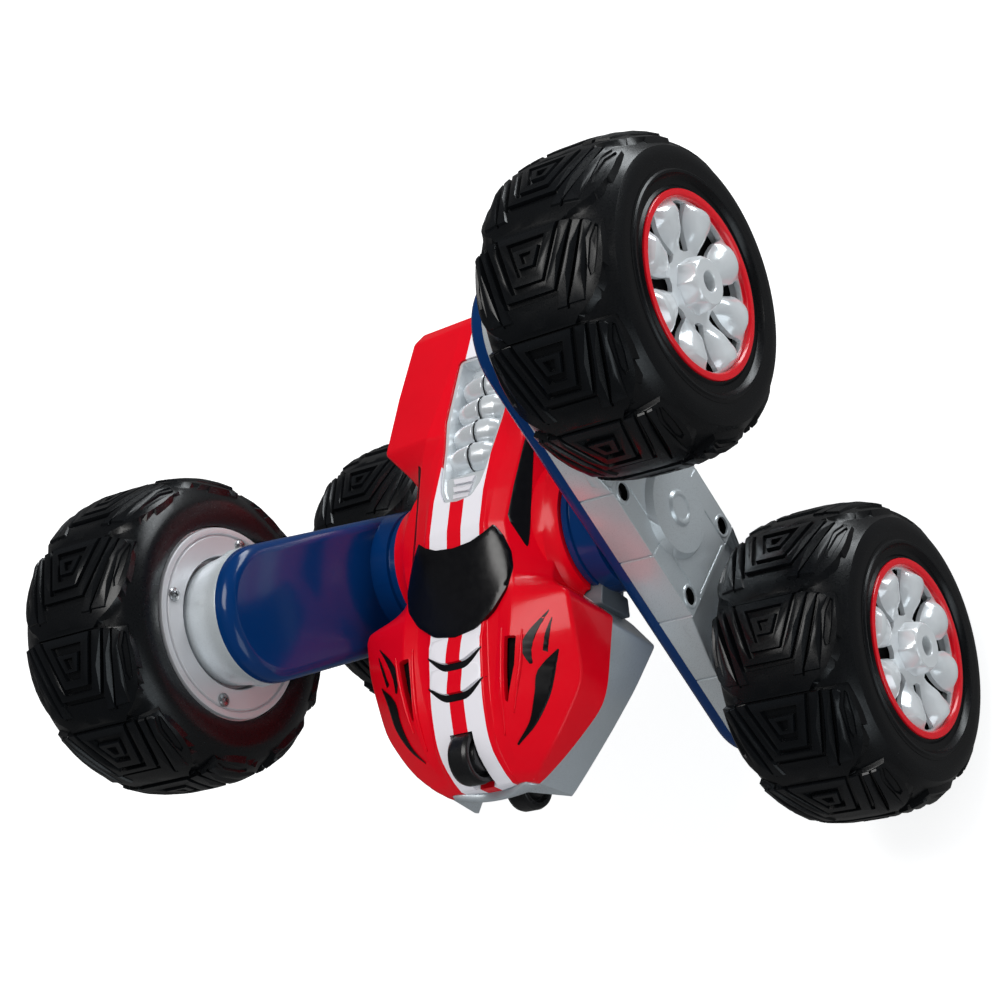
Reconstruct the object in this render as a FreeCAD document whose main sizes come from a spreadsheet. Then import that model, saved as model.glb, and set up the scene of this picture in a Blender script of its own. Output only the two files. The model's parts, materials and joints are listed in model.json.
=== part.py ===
import FreeCAD, Part
import math
import os

import Sketcher

# A radio-controlled stunt car: a body carried between two arms that turn right round on one
# cross axis. Each arm holds its own motor and gears and has a wheel at both ends.
#
# Frame: X along the arms' pivot axis (+X is the car's left side), nose towards -Y, +Z up,
# origin in the middle of the pivot axis. The arms rest tilted opposite ways.
# A piece that belongs to an arm is drawn for an arm that lies level along Y, outside towards +X.

os.makedirs("parts", exist_ok=True)
doc = FreeCAD.newDocument("stunt_car")

SIZES = {
    # stance
    "arm_tilt": 61.0,
    "wheel_offset": 82.0,
    # arm housing, measured along X from the car's middle
    "arm_radius": 25.35,
    "arm_wall": 2.0,
    "arm_inside": 50.0,
    "arm_seam": 56.7,
    "arm_low_face": 66.0,
    "arm_high_face": 71.0,
    "arm_edge_round": 4.5,
    "plateau_half": 30.0,
    "plateau_slope": 3.5,
    "hub_disc_radius": 17.3,
    "hub_disc_face": 73.5,
    "hub_button_radius": 6.3,
    "hub_button_face": 74.5,
    "wheel_boss_radius": 23.0,
    "wheel_boss_face": 74.5,
    # arm pivot
    "collar_end": 38.5,
    "spigot_end": 24.0,
    "spigot_radius": 16.0,
    "running_gap": 0.05,
    "retainer_width": 2.0,
    "retainer_radius": 19.0,
    # cover screws
    "cover_screw_along": 24.5,
    "cover_screw_across": 20.0,
    "post_radius": 2.6,
    "screw_shank": 1.3,
    "screw_head": 3.0,
    "screw_hole": 3.25,
    # drive
    "motor_radius": 12.5,
    "motor_inner_end": 22.0,
    "motor_outer_end": 51.5,
    "motor_shaft": 1.0,
    "gear_module": 1.0,
    "pinion_teeth": 12,
    "reduction_big_teeth": 32,
    "reduction_small_teeth": 14,
    "idler_teeth": 32,
    "axle_teeth": 42,
    "first_layer": 53.2,
    "first_layer_end": 56.6,
    "second_layer": 57.4,
    "second_layer_end": 62.2,
    "pin_radius": 1.5,
    "pin_start": 50.8,
    "pin_end": 63.8,
    "axle_radius": 3.0,
    "axle_start": 52.6,
    "axle_end": 126.0,
    # wheel
    "tyre_radius": 57.5,
    "tyre_inside": 72.0,
    "tyre_outside": 130.0,
    "barrel_radius": 36.0,
    "barrel_wall": 3.0,
    "barrel_start": 74.7,
    "barrel_end": 126.5,
    "web_face": 118.0,
    "web_thick": 3.5,
    "hub_radius": 7.5,
    "hub_start": 108.0,
    "hub_face": 132.7,
    "hub_hole": 3.5,
    "window_inner": 14.0,
    "window_outer": 29.5,
    "window_half": 2.2,
    "spokes": 8,
    "ring_inner": 30.0,
    "ring_outer": 32.94,
    "ring_face": 129.2,
    "disc_radius": 35.4,
    "disc_hole": 24.6,
    "disc_face": 72.7,
    "disc_web": 77.0,
    "disc_screw_circle": 30.0,
    "disc_screw_head": 2.6,
    "disc_screw_shank": 1.2,
    # body
    "seam_height": 3.5,
    "shell_wall": 2.2,
    "flank_half": 34.0,
    "hub_boss_face": 38.0,
    "hub_boss_radius": 25.4,
    "skin": 0.8,
    "trim_gap": 0.2,
    "roller_radius": 10.0,
    "roller_half": 4.5,
    "roller_gap": 0.8,
    "upper_roller_ahead": 87.0,
    "upper_roller_height": 17.5,
    "lower_roller_ahead": 87.0,
    "lower_roller_height": -15.0,
    "cell_radius": 7.2,
    "cell_pitch": 14.8,
    "cell_length": 44.0,
    "door_half": 25.0,
    "door_front": 24.0,
    "door_rear": 74.0,
    "door_thick": 2.0,
    "body_bottom": -30.0,
}

sheet = doc.addObject("Spreadsheet::Sheet", "Size")
for row, (alias, value) in enumerate(SIZES.items(), 1):
    sheet.set(f"A{row}", alias)
    sheet.set(f"B{row}", str(value))
    sheet.setAlias(f"B{row}", alias)
doc.recompute()

VECTOR = FreeCAD.Vector
ALONG_X = VECTOR(1, 0, 0)
pieces = []


def size(alias):
    """A driving dimension, read from the spreadsheet."""
    return getattr(sheet, alias)


# ---------------------------------------------------------------- drawing helpers


def keep(piece, name, placement=None):
    """Names a finished piece after its node and puts it in its place."""
    piece.Label = name
    if placement is not None:
        piece.Placement = placement
    pieces.append(piece)
    return piece


def origin_plane(body, role):
    for feature in body.Origin.OriginFeatures:
        if feature.Role == role:
            return feature
    raise ValueError(role)


def sketch_on(body, role, offset):
    """An empty sketch on one of the body's own planes, moved along its normal."""
    sketch = body.newObject("Sketcher::SketchObject", "Sketch")
    sketch.AttachmentSupport = (origin_plane(body, role), [""])
    sketch.MapMode = "FlatFace"
    if offset:
        sketch.setExpression("AttachmentOffset.Base.z", offset)
    return sketch


def bind(sketch, constraint, expression):
    """Adds a constraint whose value is an expression of the spreadsheet."""
    number = sketch.addConstraint(constraint)
    sketch.setExpression(f"Constraints[{number}]", expression)


def draw_polygon(sketch, points):
    """Straight edges through points, each a pair of expressions."""
    count = len(points)
    start = sketch.GeometryCount
    corners = []
    for index in range(count):
        turn = 2 * math.pi * index / count
        corners.append(VECTOR(math.cos(turn), math.sin(turn), 0) * 10)
    for index in range(count):
        sketch.addGeometry(Part.LineSegment(corners[index], corners[(index + 1) % count]), False)
    for index in range(count):
        following = start + (index + 1) % count
        sketch.addConstraint(Sketcher.Constraint("Coincident", start + index, 2, following, 1))
    for index, (across, up) in enumerate(points):
        bind(sketch, Sketcher.Constraint("DistanceX", -1, 1, start + index, 1, 1.0), across)
        bind(sketch, Sketcher.Constraint("DistanceY", -1, 1, start + index, 1, 1.0), up)


def draw_circle(sketch, across, up, radius):
    """A circle whose centre and radius are expressions."""
    sketch.addGeometry(Part.Circle(VECTOR(1, 1, 0), VECTOR(0, 0, 1), 1.0), False)
    circle = sketch.GeometryCount - 1
    bind(sketch, Sketcher.Constraint("DistanceX", -1, 1, circle, 3, 1.0), across)
    bind(sketch, Sketcher.Constraint("DistanceY", -1, 1, circle, 3, 1.0), up)
    bind(sketch, Sketcher.Constraint("Radius", circle, 1.0), radius)


def draw_slot(sketch, half_length, radius):
    """A stadium about the origin, lying along the sketch's first axis."""
    reach, tall = 30.0, 10.0
    up = VECTOR(0, 0, 1)
    right = Part.Circle(VECTOR(reach, 0, 0), up, tall)
    left = Part.Circle(VECTOR(-reach, 0, 0), up, tall)
    sketch.addGeometry(Part.ArcOfCircle(right, -math.pi / 2, math.pi / 2), False)
    sketch.addGeometry(Part.LineSegment(VECTOR(reach, tall, 0), VECTOR(-reach, tall, 0)), False)
    sketch.addGeometry(Part.ArcOfCircle(left, math.pi / 2, 3 * math.pi / 2), False)
    sketch.addGeometry(Part.LineSegment(VECTOR(-reach, -tall, 0), VECTOR(reach, -tall, 0)), False)
    for index in range(4):
        sketch.addConstraint(Sketcher.Constraint("Tangent", index, 2, (index + 1) % 4, 1))
    bind(sketch, Sketcher.Constraint("DistanceX", -1, 1, 0, 3, reach), half_length)
    bind(sketch, Sketcher.Constraint("DistanceY", -1, 1, 0, 3, 0.0), "0")
    bind(sketch, Sketcher.Constraint("DistanceX", -1, 1, 2, 3, -reach), f"-({half_length})")
    bind(sketch, Sketcher.Constraint("DistanceY", -1, 1, 2, 3, 0.0), "0")
    bind(sketch, Sketcher.Constraint("Radius", 0, tall), radius)
    sketch.addConstraint(Sketcher.Constraint("Equal", 0, 2))


def pad(body, sketch, length, midplane=False):
    """Adds the sketch's outline, as thick as length, along the sketch's normal."""
    feature = body.newObject("PartDesign::Pad", "Pad")
    feature.Profile = sketch
    feature.Midplane = midplane
    feature.setExpression("Length", length)
    body.Tip = feature
    return feature


def pocket(body, sketch, length, reverse=False):
    """Cuts the sketch's outline, length deep, against the normal unless reversed."""
    feature = body.newObject("PartDesign::Pocket", "Pocket")
    feature.Profile = sketch
    feature.Reversed = reverse
    feature.setExpression("Length", length)
    body.Tip = feature
    return feature


def turned(body, points, cut=False):
    """Turns a profile of (x, radius) expressions about X: adds it, or cuts it away."""
    kind = "Groove" if cut else "Revolution"
    sketch = sketch_on(body, "XY_Plane", None)
    draw_polygon(sketch, points)
    feature = body.newObject(f"PartDesign::{kind}", kind)
    feature.Profile = sketch
    feature.ReferenceAxis = (sketch, ["H_Axis"])
    feature.Angle = 360
    body.Tip = feature
    return feature


def around_x(body, feature, count):
    """Repeats a feature count times about the X axis."""
    pattern = body.newObject("PartDesign::PolarPattern", "PolarPattern")
    pattern.Originals = [feature]
    x_axis = next(item for item in body.Origin.OriginFeatures if item.Role == "X_Axis")
    pattern.Axis = (x_axis, [""])
    pattern.Angle = 360
    pattern.setExpression("Occurrences", count)
    body.Tip = pattern
    return pattern


def new_body():
    return doc.addObject("PartDesign::Body", "Body")


def rod(start, end, radius):
    """A Part cylinder along X between two expressions of x."""
    cylinder = doc.addObject("Part::Cylinder", "Rod")
    cylinder.Placement = FreeCAD.Placement(VECTOR(0, 0, 0), FreeCAD.Rotation(VECTOR(0, 1, 0), 90))
    cylinder.setExpression("Radius", radius)
    cylinder.setExpression("Height", f"({end}) - ({start})")
    cylinder.setExpression("Placement.Base.x", start)
    return cylinder


def move(piece, along, across):
    """Moves a rod or box off the X axis by expressions of y and z."""
    piece.setExpression("Placement.Base.y", along)
    piece.setExpression("Placement.Base.z", across)
    return piece


def block(low, high):
    """A Part box between two corners, each three expressions."""
    box = doc.addObject("Part::Box", "Block")
    for name, letter, start, end in zip(("Length", "Width", "Height"), "xyz", low, high):
        box.setExpression(name, f"({end}) - ({start})")
        box.setExpression(f"Placement.Base.{letter}", start)
    return box


def join(parts, label="Join"):
    """One object from several: touching ones become one solid, apart ones stay separate."""
    fused = doc.addObject("Part::MultiFuse", label)
    fused.Shapes = parts
    return fused


# ---------------------------------------------------------------- places


def arm_placement(side):
    """The left arm tips its front end down, the right arm its rear end."""
    tilt = size("arm_tilt")
    if side == "left":
        return FreeCAD.Placement(VECTOR(0, 0, 0), FreeCAD.Rotation(ALONG_X, tilt))
    half_turn = FreeCAD.Rotation(VECTOR(0, 0, 1), 180)
    return FreeCAD.Placement(VECTOR(0, 0, 0), FreeCAD.Rotation(ALONG_X, -tilt).multiply(half_turn))


def end_sign(side, end):
    """Which way along the drawn arm an end lies: the right arm is the left one turned about Z."""
    forward = -1 if side == "left" else 1
    return forward if end == "front" else -forward


def on_arm(side, along=0.0):
    """The placement of something drawn on the X axis that sits along the arm."""
    shift = FreeCAD.Placement(VECTOR(0, along, 0), FreeCAD.Rotation())
    return arm_placement(side).multiply(shift)


# ---------------------------------------------------------------- wheels


def make_tyre(name, placement):
    body = new_body()
    near, far, top = "Size.tyre_inside", "Size.tyre_outside", "Size.tyre_radius"
    seat = "Size.barrel_radius"
    turned(body, [
        (f"{near} + 1.5", f"{seat} + 0.1"),
        (f"{near} + 0.2", f"{seat} + 4"),
        (near, f"{top} - 11.5"),
        (f"{near} + 1", f"{top} - 7.5"),
        (f"{near} + 4", f"{top} - 4"),
        (f"{near} + 10", f"{top} - 1.5"),
        (f"{near} + 20", top),
        (f"{near} + 36", top),
        (f"{near} + 46", f"{top} - 1.5"),
        (f"{far} - 5", f"{top} - 4.5"),
        (f"{far} - 1", f"{top} - 8"),
        (far, f"{top} - 12.5"),
        (f"{far} - 0.7", f"{seat} + 2"),
        (f"{far} - 1.4", "Size.ring_outer + 0.1"),
        ("Size.barrel_end + 0.1", "Size.ring_outer + 0.1"),
        ("Size.barrel_end + 0.1", seat),
        (f"{far} - 9", seat),
        (f"{far} - 9", f"{seat} + 4"),
        (f"{far} - 4", f"{seat} + 6"),
        (f"{far} - 4", f"{top} - 9.5"),
        (f"{far} - 9", f"{top} - 5.2"),
        (f"{near} + 36", f"{top} - 3"),
        (f"{near} + 20", f"{top} - 3"),
        (f"{near} + 11", f"{top} - 4.6"),
        (f"{near} + 6", f"{top} - 7.5"),
        (f"{near} + 3.6", f"{seat} + 9"),
        (f"{near} + 8", f"{seat} + 4"),
        (f"{near} + 8", seat),
        (f"{near} + 3", seat),
    ])
    keep(body, name, placement)


def make_rim(name, placement):
    """Barrel, dished web with eight windows, four screw posts and the hub with its axle bore."""
    body = new_body()
    seat, inner = "Size.barrel_radius", "Size.barrel_radius - Size.barrel_wall"
    web, web_back = "Size.web_face", "Size.web_face - Size.web_thick"
    turned(body, [
        ("Size.barrel_start", inner),
        ("Size.barrel_start", seat),
        ("Size.barrel_end", seat),
        ("Size.barrel_end", inner),
        ("Size.ring_face - 5.2", inner),
        ("Size.ring_face - 5.2", f"{inner} - 2"),
        (f"{web} + 2", f"{inner} - 2"),
        (web, "Size.hub_radius + 3"),
        (f"{web} + 3", "Size.hub_radius"),
        ("Size.hub_face", "Size.hub_radius"),
        ("Size.hub_face", "Size.hub_hole"),
        ("Size.axle_end + 1", "Size.hub_hole"),
        ("Size.axle_end + 1", "Size.axle_radius"),
        ("Size.hub_start", "Size.axle_radius"),
        ("Size.hub_start", "Size.hub_radius"),
        (web_back, "Size.hub_radius"),
        (f"{web_back} + 2", inner),
    ])
    window = sketch_on(body, "YZ_Plane", "Size.web_face + 6")
    draw_polygon(window, [
        ("Size.window_inner", "-Size.window_half / 2"),
        ("Size.window_outer", "-Size.window_half"),
        ("Size.window_outer", "Size.window_half"),
        ("Size.window_inner", "Size.window_half / 2"),
    ])
    around_x(body, pocket(body, window, "Size.web_thick + 10"), "Size.spokes")
    posts = sketch_on(body, "YZ_Plane", "Size.barrel_start")
    draw_circle(posts, "Size.disc_screw_circle", "0", "3.4")
    around_x(body, pad(body, posts, "9"), "4")
    holes = sketch_on(body, "YZ_Plane", "Size.barrel_start")
    draw_circle(holes, "Size.disc_screw_circle", "0", "Size.disc_screw_shank")
    around_x(body, pocket(body, holes, "7", reverse=True), "4")
    keep(body, name, placement)


def make_rim_ring(name, placement):
    body = new_body()
    turned(body, [
        ("Size.ring_face - 5.2", "Size.ring_inner + 1"),
        ("Size.ring_face - 5.2", "Size.ring_outer"),
        ("Size.ring_face", "Size.ring_outer"),
        ("Size.ring_face", "Size.ring_inner + 0.4"),
        ("Size.ring_face - 0.6", "Size.ring_inner"),
        ("Size.ring_face - 2.2", "Size.ring_inner"),
        ("Size.ring_face - 3", "Size.ring_inner + 1"),
    ])
    keep(body, name, placement)


def make_inner_disc(name, placement):
    """The dished plate that closes the wheel's inner side round the arm's wheel boss."""
    body = new_body()
    turned(body, [
        ("Size.disc_face", "Size.disc_hole"),
        ("Size.disc_face", "Size.disc_radius - 3.2"),
        ("Size.disc_face + 0.6", "Size.disc_radius - 2.9"),
        ("Size.disc_face + 0.6", "Size.disc_radius - 2.5"),
        ("Size.disc_face", "Size.disc_radius - 2.2"),
        ("Size.disc_face", "Size.disc_radius"),
        ("Size.barrel_start", "Size.disc_radius"),
        ("Size.barrel_start", "Size.disc_hole + 2"),
        ("Size.disc_web + 2", "Size.disc_hole + 2"),
        ("Size.disc_web + 2", "Size.axle_radius"),
        ("Size.disc_web", "Size.axle_radius"),
        ("Size.disc_web", "Size.disc_hole"),
    ])
    holes = sketch_on(body, "YZ_Plane", "Size.barrel_start")
    draw_circle(holes, "Size.disc_screw_circle", "0", "Size.disc_screw_shank")
    around_x(body, pocket(body, holes, "4"), "4")
    keep(body, name, placement)


def make_disc_screws(name, placement):
    """Four cross-head screws on a circle, heads flush against the disc's face."""
    screws = []
    for index in range(4):
        turn = f"{90 * index}"
        along = f"Size.disc_screw_circle * cos({turn})"
        across = f"Size.disc_screw_circle * sin({turn})"
        shank = rod("Size.disc_face", "Size.disc_face + 8", "Size.disc_screw_shank")
        head = rod("Size.disc_face - 1.3", "Size.disc_face", "Size.disc_screw_head")
        screws.append(join([move(shank, along, across), move(head, along, across)]))
    keep(join(screws), name, placement)


# ---------------------------------------------------------------- gears


def tooth_points(teeth, phase):
    """The outline of a spur gear with involute flanks, thinned so that it runs with backlash."""
    module = size("gear_module")
    pressure = math.radians(20)
    thinning = 0.3 * module
    pitch = teeth * module / 2
    tip = pitch + 0.8 * module
    root = pitch - 1.25 * module
    base = pitch * math.cos(pressure)
    involute_at_pitch = math.tan(pressure) - pressure
    half_at_pitch = (math.pi * module / 2 - thinning) / (2 * pitch)
    flank = []
    lowest = max(base, root)
    for step in range(5):
        radius = lowest + (tip - lowest) * step / 4
        roll = math.acos(min(1.0, base / radius))
        flank.append((radius, half_at_pitch + involute_at_pitch - (math.tan(roll) - roll)))
    if root < base:
        flank.insert(0, (root, flank[0][1]))
    points = []
    for tooth in range(teeth):
        middle = phase + 2 * math.pi * tooth / teeth
        one_side = [(radius, middle - half) for radius, half in flank]
        other_side = [(radius, middle + half) for radius, half in reversed(flank)]
        for radius, turn in one_side + other_side:
            points.append((radius * math.cos(turn), radius * math.sin(turn)))
    return points


def gear_solid(teeth, phase, start, end):
    """A gear without a bore, its axis along X."""
    corners = [VECTOR(start, across, up) for across, up in tooth_points(teeth, phase)]
    face = Part.Face(Part.makePolygon(corners + [corners[0]]))
    return face.extrude(ALONG_X * (end - start))


def solid_rod(start, end, radius):
    return Part.makeCylinder(radius, end - start, VECTOR(start, 0, 0), ALONG_X)


def meshing_phase(driver_teeth, driver_phase, driven_teeth, towards):
    """The phase that sets a driven gear's gap against the driver's tooth, in radians."""
    driver_share = (towards - driver_phase) * driver_teeth / (2 * math.pi)
    return towards + math.pi - (0.5 - driver_share) * 2 * math.pi / driven_teeth


def gear_train(direction):
    """Centres along the arm and phases of the gears on one side of the motor."""
    module = size("gear_module")
    pinion = size("pinion_teeth")
    big = size("reduction_big_teeth")
    small = size("reduction_small_teeth")
    idler = size("idler_teeth")
    axle = size("axle_teeth")
    towards = 0.0 if direction > 0 else math.pi
    reduction_at = (pinion + big) * module / 2
    idler_at = reduction_at + (small + idler) * module / 2
    reduction_phase = meshing_phase(pinion, 0.0, big, towards)
    idler_phase = meshing_phase(small, reduction_phase, idler, towards)
    axle_phase = meshing_phase(idler, idler_phase, axle, towards)
    return {
        "reduction_at": direction * reduction_at,
        "idler_at": direction * idler_at,
        "reduction": reduction_phase,
        "idler": idler_phase,
        "axle": axle_phase,
    }


def shaped(shape, name, placement):
    piece = doc.addObject("Part::Feature", "Shaped")
    piece.Shape = shape
    keep(piece, name, placement)


def make_axle(name, placement, phase):
    """The steel wheel axle with its moulded gear."""
    gear = gear_solid(int(size("axle_teeth")), phase, size("second_layer"), size("second_layer_end"))
    shaft = solid_rod(size("axle_start"), size("axle_end"), size("axle_radius"))
    shoulder = solid_rod(size("second_layer_end"), size("second_layer_end") + 3, size("axle_radius") + 2)
    shaped(gear.fuse([shaft, shoulder]).removeSplitter(), name, placement)


def make_pinion(name, placement):
    gear = gear_solid(int(size("pinion_teeth")), 0.0, size("first_layer"), size("first_layer_end"))
    bore = solid_rod(size("first_layer") - 1, size("first_layer_end") + 1,
                     size("motor_shaft") + size("running_gap"))
    shaped(gear.cut(bore), name, placement)


def make_reduction_gear(name, placement, phase):
    """A large and a small gear moulded as one, running on a fixed pin."""
    big = gear_solid(int(size("reduction_big_teeth")), phase, size("first_layer"),
                     size("first_layer_end"))
    small = gear_solid(int(size("reduction_small_teeth")), phase, size("first_layer_end"),
                       size("second_layer_end"))
    bore = solid_rod(size("first_layer") - 1, size("second_layer_end") + 1,
                     size("pin_radius") + size("running_gap"))
    shaped(big.fuse(small).cut(bore), name, placement)


def make_idler_gear(name, placement, phase):
    gear = gear_solid(int(size("idler_teeth")), phase, size("second_layer"), size("second_layer_end"))
    bore = solid_rod(size("second_layer") - 1, size("second_layer_end") + 1,
                     size("pin_radius") + size("running_gap"))
    shaped(gear.cut(bore), name, placement)


PIN_PLACES = (
    "(Size.pinion_teeth + Size.reduction_big_teeth) * Size.gear_module / 2",
    "(Size.pinion_teeth + Size.reduction_big_teeth + Size.reduction_small_teeth"
    " + Size.idler_teeth) * Size.gear_module / 2",
)


def make_gear_pins(name, placement):
    """Four steel pins pressed into the inner half of the arm."""
    pins = []
    for place in PIN_PLACES:
        for sign in ("", "-"):
            pin = rod("Size.pin_start", "Size.pin_end", "Size.pin_radius")
            pins.append(move(pin, f"{sign}({place})", "0"))
    keep(join(pins), name, placement)


# ---------------------------------------------------------------- arms


def four_circles(sketch, radius):
    """Circles at the cover screws' places."""
    for along in ("Size.cover_screw_along", "-Size.cover_screw_along"):
        for across in ("Size.cover_screw_across", "-Size.cover_screw_across"):
            draw_circle(sketch, along, across, radius)


def edges_at(shape, where):
    """Names of the edges that lie wholly in the plane x = where."""
    names = []
    for index, edge in enumerate(shape.Edges, 1):
        box = edge.BoundBox
        if abs(box.XMin - where) < 0.001 and abs(box.XMax - where) < 0.001:
            names.append(f"Edge{index}")
    return names


def make_arm_inner_shell(name, placement):
    """The arm's body-side half, with the pivot collar and the hollow spigot for the motor."""
    body = new_body()
    outline = sketch_on(body, "YZ_Plane", "Size.arm_inside")
    draw_slot(outline, "Size.wheel_offset", "Size.arm_radius")
    slab = pad(body, outline, "Size.arm_seam - Size.arm_inside")
    doc.recompute()
    rounding = body.newObject("PartDesign::Fillet", "Fillet")
    rounding.Base = (slab, edges_at(slab.Shape, size("arm_inside")))
    rounding.setExpression("Radius", "Size.arm_edge_round")
    body.Tip = rounding
    hollow = sketch_on(body, "YZ_Plane", "Size.arm_seam")
    draw_slot(hollow, "Size.wheel_offset", "Size.arm_radius - Size.arm_wall")
    pocket(body, hollow, "Size.arm_seam - Size.arm_inside - Size.arm_wall")
    collar, motor = "Size.collar_end", "Size.motor_radius + 0.1"
    turned(body, [
        ("Size.arm_inside + 1", motor),
        ("Size.spigot_end", motor),
        ("Size.spigot_end", "Size.spigot_radius"),
        (collar, "Size.spigot_radius"),
        (collar, "Size.arm_radius - 1.4"),
        (f"{collar} + 2.6", "Size.arm_radius - 1"),
        (f"{collar} + 3", "Size.arm_radius - 1.9"),
        (f"{collar} + 3.8", "Size.arm_radius - 1.9"),
        (f"{collar} + 4.2", "Size.arm_radius - 0.8"),
        ("Size.arm_inside + 1", "Size.arm_radius - 0.1"),
    ])
    turned(body, [
        (f"{collar} + 2.5", f"{motor} + 2"),
        ("Size.arm_inside + Size.arm_wall + 1", f"{motor} + 2"),
        ("Size.arm_inside + Size.arm_wall + 1", "Size.arm_radius - 4"),
        (f"{collar} + 2.5", "Size.arm_radius - 4"),
    ], cut=True)
    bore = sketch_on(body, "YZ_Plane", "Size.spigot_end")
    draw_circle(bore, "0", "0", motor)
    pocket(body, bore, "Size.arm_inside + Size.arm_wall - Size.spigot_end", reverse=True)
    posts = sketch_on(body, "YZ_Plane", "Size.arm_inside + Size.arm_wall - 0.5")
    four_circles(posts, "Size.post_radius")
    pad(body, posts, "Size.arm_seam - Size.arm_inside - Size.arm_wall + 0.5")
    holes = sketch_on(body, "YZ_Plane", "Size.arm_seam")
    four_circles(holes, "Size.screw_shank")
    pocket(body, holes, "3.2")
    seats = sketch_on(body, "YZ_Plane", "Size.arm_inside + Size.arm_wall - 0.5")
    for place in PIN_PLACES:
        draw_circle(seats, place, "0", "Size.pin_radius + 2")
        draw_circle(seats, f"-({place})", "0", "Size.pin_radius + 2")
    pad(body, seats, "1.4")
    pin_holes = sketch_on(body, "YZ_Plane", "Size.first_layer")
    for place in PIN_PLACES:
        draw_circle(pin_holes, place, "0", "Size.pin_radius")
        draw_circle(pin_holes, f"-({place})", "0", "Size.pin_radius")
    pocket(body, pin_holes, "Size.first_layer - Size.pin_start")
    bearings = sketch_on(body, "YZ_Plane", "Size.arm_inside + Size.arm_wall - 0.5")
    for sign in ("", "-"):
        draw_circle(bearings, f"{sign}Size.wheel_offset", "0", "Size.axle_radius + 3")
    pad(body, bearings, "4.5")
    sockets = sketch_on(body, "YZ_Plane", "Size.arm_seam")
    for sign in ("", "-"):
        draw_circle(sockets, f"{sign}Size.wheel_offset", "0", "Size.axle_radius + Size.running_gap")
    pocket(body, sockets, "Size.arm_seam - Size.axle_start + 0.2")
    keep(body, name, placement)


def make_arm_outer_shell(name, placement):
    """The arm's outer half: a raised middle, a round hub panel and a boss for each wheel."""
    body = new_body()
    low, high, wall = "Size.arm_low_face", "Size.arm_high_face", "Size.arm_wall"
    outline = sketch_on(body, "YZ_Plane", "Size.arm_seam")
    draw_slot(outline, "Size.wheel_offset", "Size.arm_radius")
    pad(body, outline, f"{low} - Size.arm_seam")
    plateau = sketch_on(body, "XY_Plane", None)
    edge, foot = "Size.plateau_half", "Size.plateau_half + Size.plateau_slope"
    draw_polygon(plateau, [
        (f"{low} - 1", f"-({foot})"),
        (low, f"-({foot})"),
        (high, f"-({edge})"),
        (high, edge),
        (low, foot),
        (f"{low} - 1", foot),
    ])
    pad(body, plateau, "2 * Size.arm_radius", midplane=True)
    turned(body, [
        (f"{high} - 1", "0"),
        (f"{high} - 1", "Size.hub_disc_radius"),
        ("Size.hub_disc_face", "Size.hub_disc_radius"),
        ("Size.hub_disc_face", "Size.hub_button_radius"),
        ("Size.hub_button_face", "Size.hub_button_radius"),
        ("Size.hub_button_face", "0"),
    ])
    for sign in ("", "-"):
        boss = sketch_on(body, "YZ_Plane", "Size.arm_seam")
        draw_circle(boss, f"{sign}Size.wheel_offset", "0", "Size.arm_radius")
        cone = pad(body, boss, "Size.wheel_boss_face - Size.arm_seam")
        cone.TaperAngle = 1.0
        cone.setExpression("TaperAngle", "-atan((Size.arm_radius - Size.wheel_boss_radius)"
                           " / (Size.wheel_boss_face - Size.arm_seam))")
    hollow = sketch_on(body, "YZ_Plane", "Size.arm_seam")
    draw_slot(hollow, "Size.wheel_offset", f"Size.arm_radius - {wall}")
    pocket(body, hollow, f"{low} - {wall} - Size.arm_seam", reverse=True)
    well = sketch_on(body, "XY_Plane", None)
    draw_polygon(well, [
        ("Size.arm_seam - 1", f"-({edge} - {wall})"),
        (f"{high} - {wall}", f"-({edge} - {wall})"),
        (f"{high} - {wall}", f"{edge} - {wall}"),
        ("Size.arm_seam - 1", f"{edge} - {wall}"),
    ])
    cavity = pocket(body, well, f"2 * (Size.arm_radius - {wall})")
    cavity.Midplane = True
    for sign in ("", "-"):
        inside = sketch_on(body, "YZ_Plane", f"{low} - {wall} - 0.5")
        draw_circle(inside, f"{sign}Size.wheel_offset", "0", "Size.wheel_boss_radius - 2.2")
        pocket(body, inside, f"Size.wheel_boss_face - {low} + 0.5", reverse=True)
    posts = sketch_on(body, "YZ_Plane", "Size.arm_seam")
    four_circles(posts, "Size.post_radius")
    pad(body, posts, f"{high} - {wall} - Size.arm_seam + 0.5")
    collars = sketch_on(body, "YZ_Plane", f"{low}")
    four_circles(collars, "Size.screw_hole + 1")
    pad(body, collars, f"{high} - {wall} - {low} + 0.5")
    heads = sketch_on(body, "YZ_Plane", high)
    four_circles(heads, "Size.screw_hole")
    pocket(body, heads, "3")
    shanks = sketch_on(body, "YZ_Plane", "Size.arm_seam")
    four_circles(shanks, "Size.screw_shank + 0.2")
    pocket(body, shanks, f"{high} - Size.arm_seam", reverse=True)
    tubes = sketch_on(body, "YZ_Plane", f"{low}")
    for sign in ("", "-"):
        draw_circle(tubes, f"{sign}Size.wheel_offset", "0", "Size.axle_radius + 2.5")
    pad(body, tubes, f"Size.wheel_boss_face - {low}")
    bores = sketch_on(body, "YZ_Plane", f"{low} - 1")
    for sign in ("", "-"):
        draw_circle(bores, f"{sign}Size.wheel_offset", "0", "Size.axle_radius + Size.running_gap")
    pocket(body, bores, f"Size.wheel_boss_face - {low} + 2", reverse=True)
    keep(body, name, placement)


def make_cover_screws(name, placement):
    screws = []
    for along in ("Size.cover_screw_along", "-Size.cover_screw_along"):
        for across in ("Size.cover_screw_across", "-Size.cover_screw_across"):
            head = rod("Size.arm_high_face - 3", "Size.arm_high_face - 0.8", "Size.screw_head")
            shank = rod("Size.arm_seam - 2.7", "Size.arm_high_face - 3", "Size.screw_shank")
            screws.append(join([move(head, along, across), move(shank, along, across)]))
    keep(join(screws), name, placement)


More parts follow.
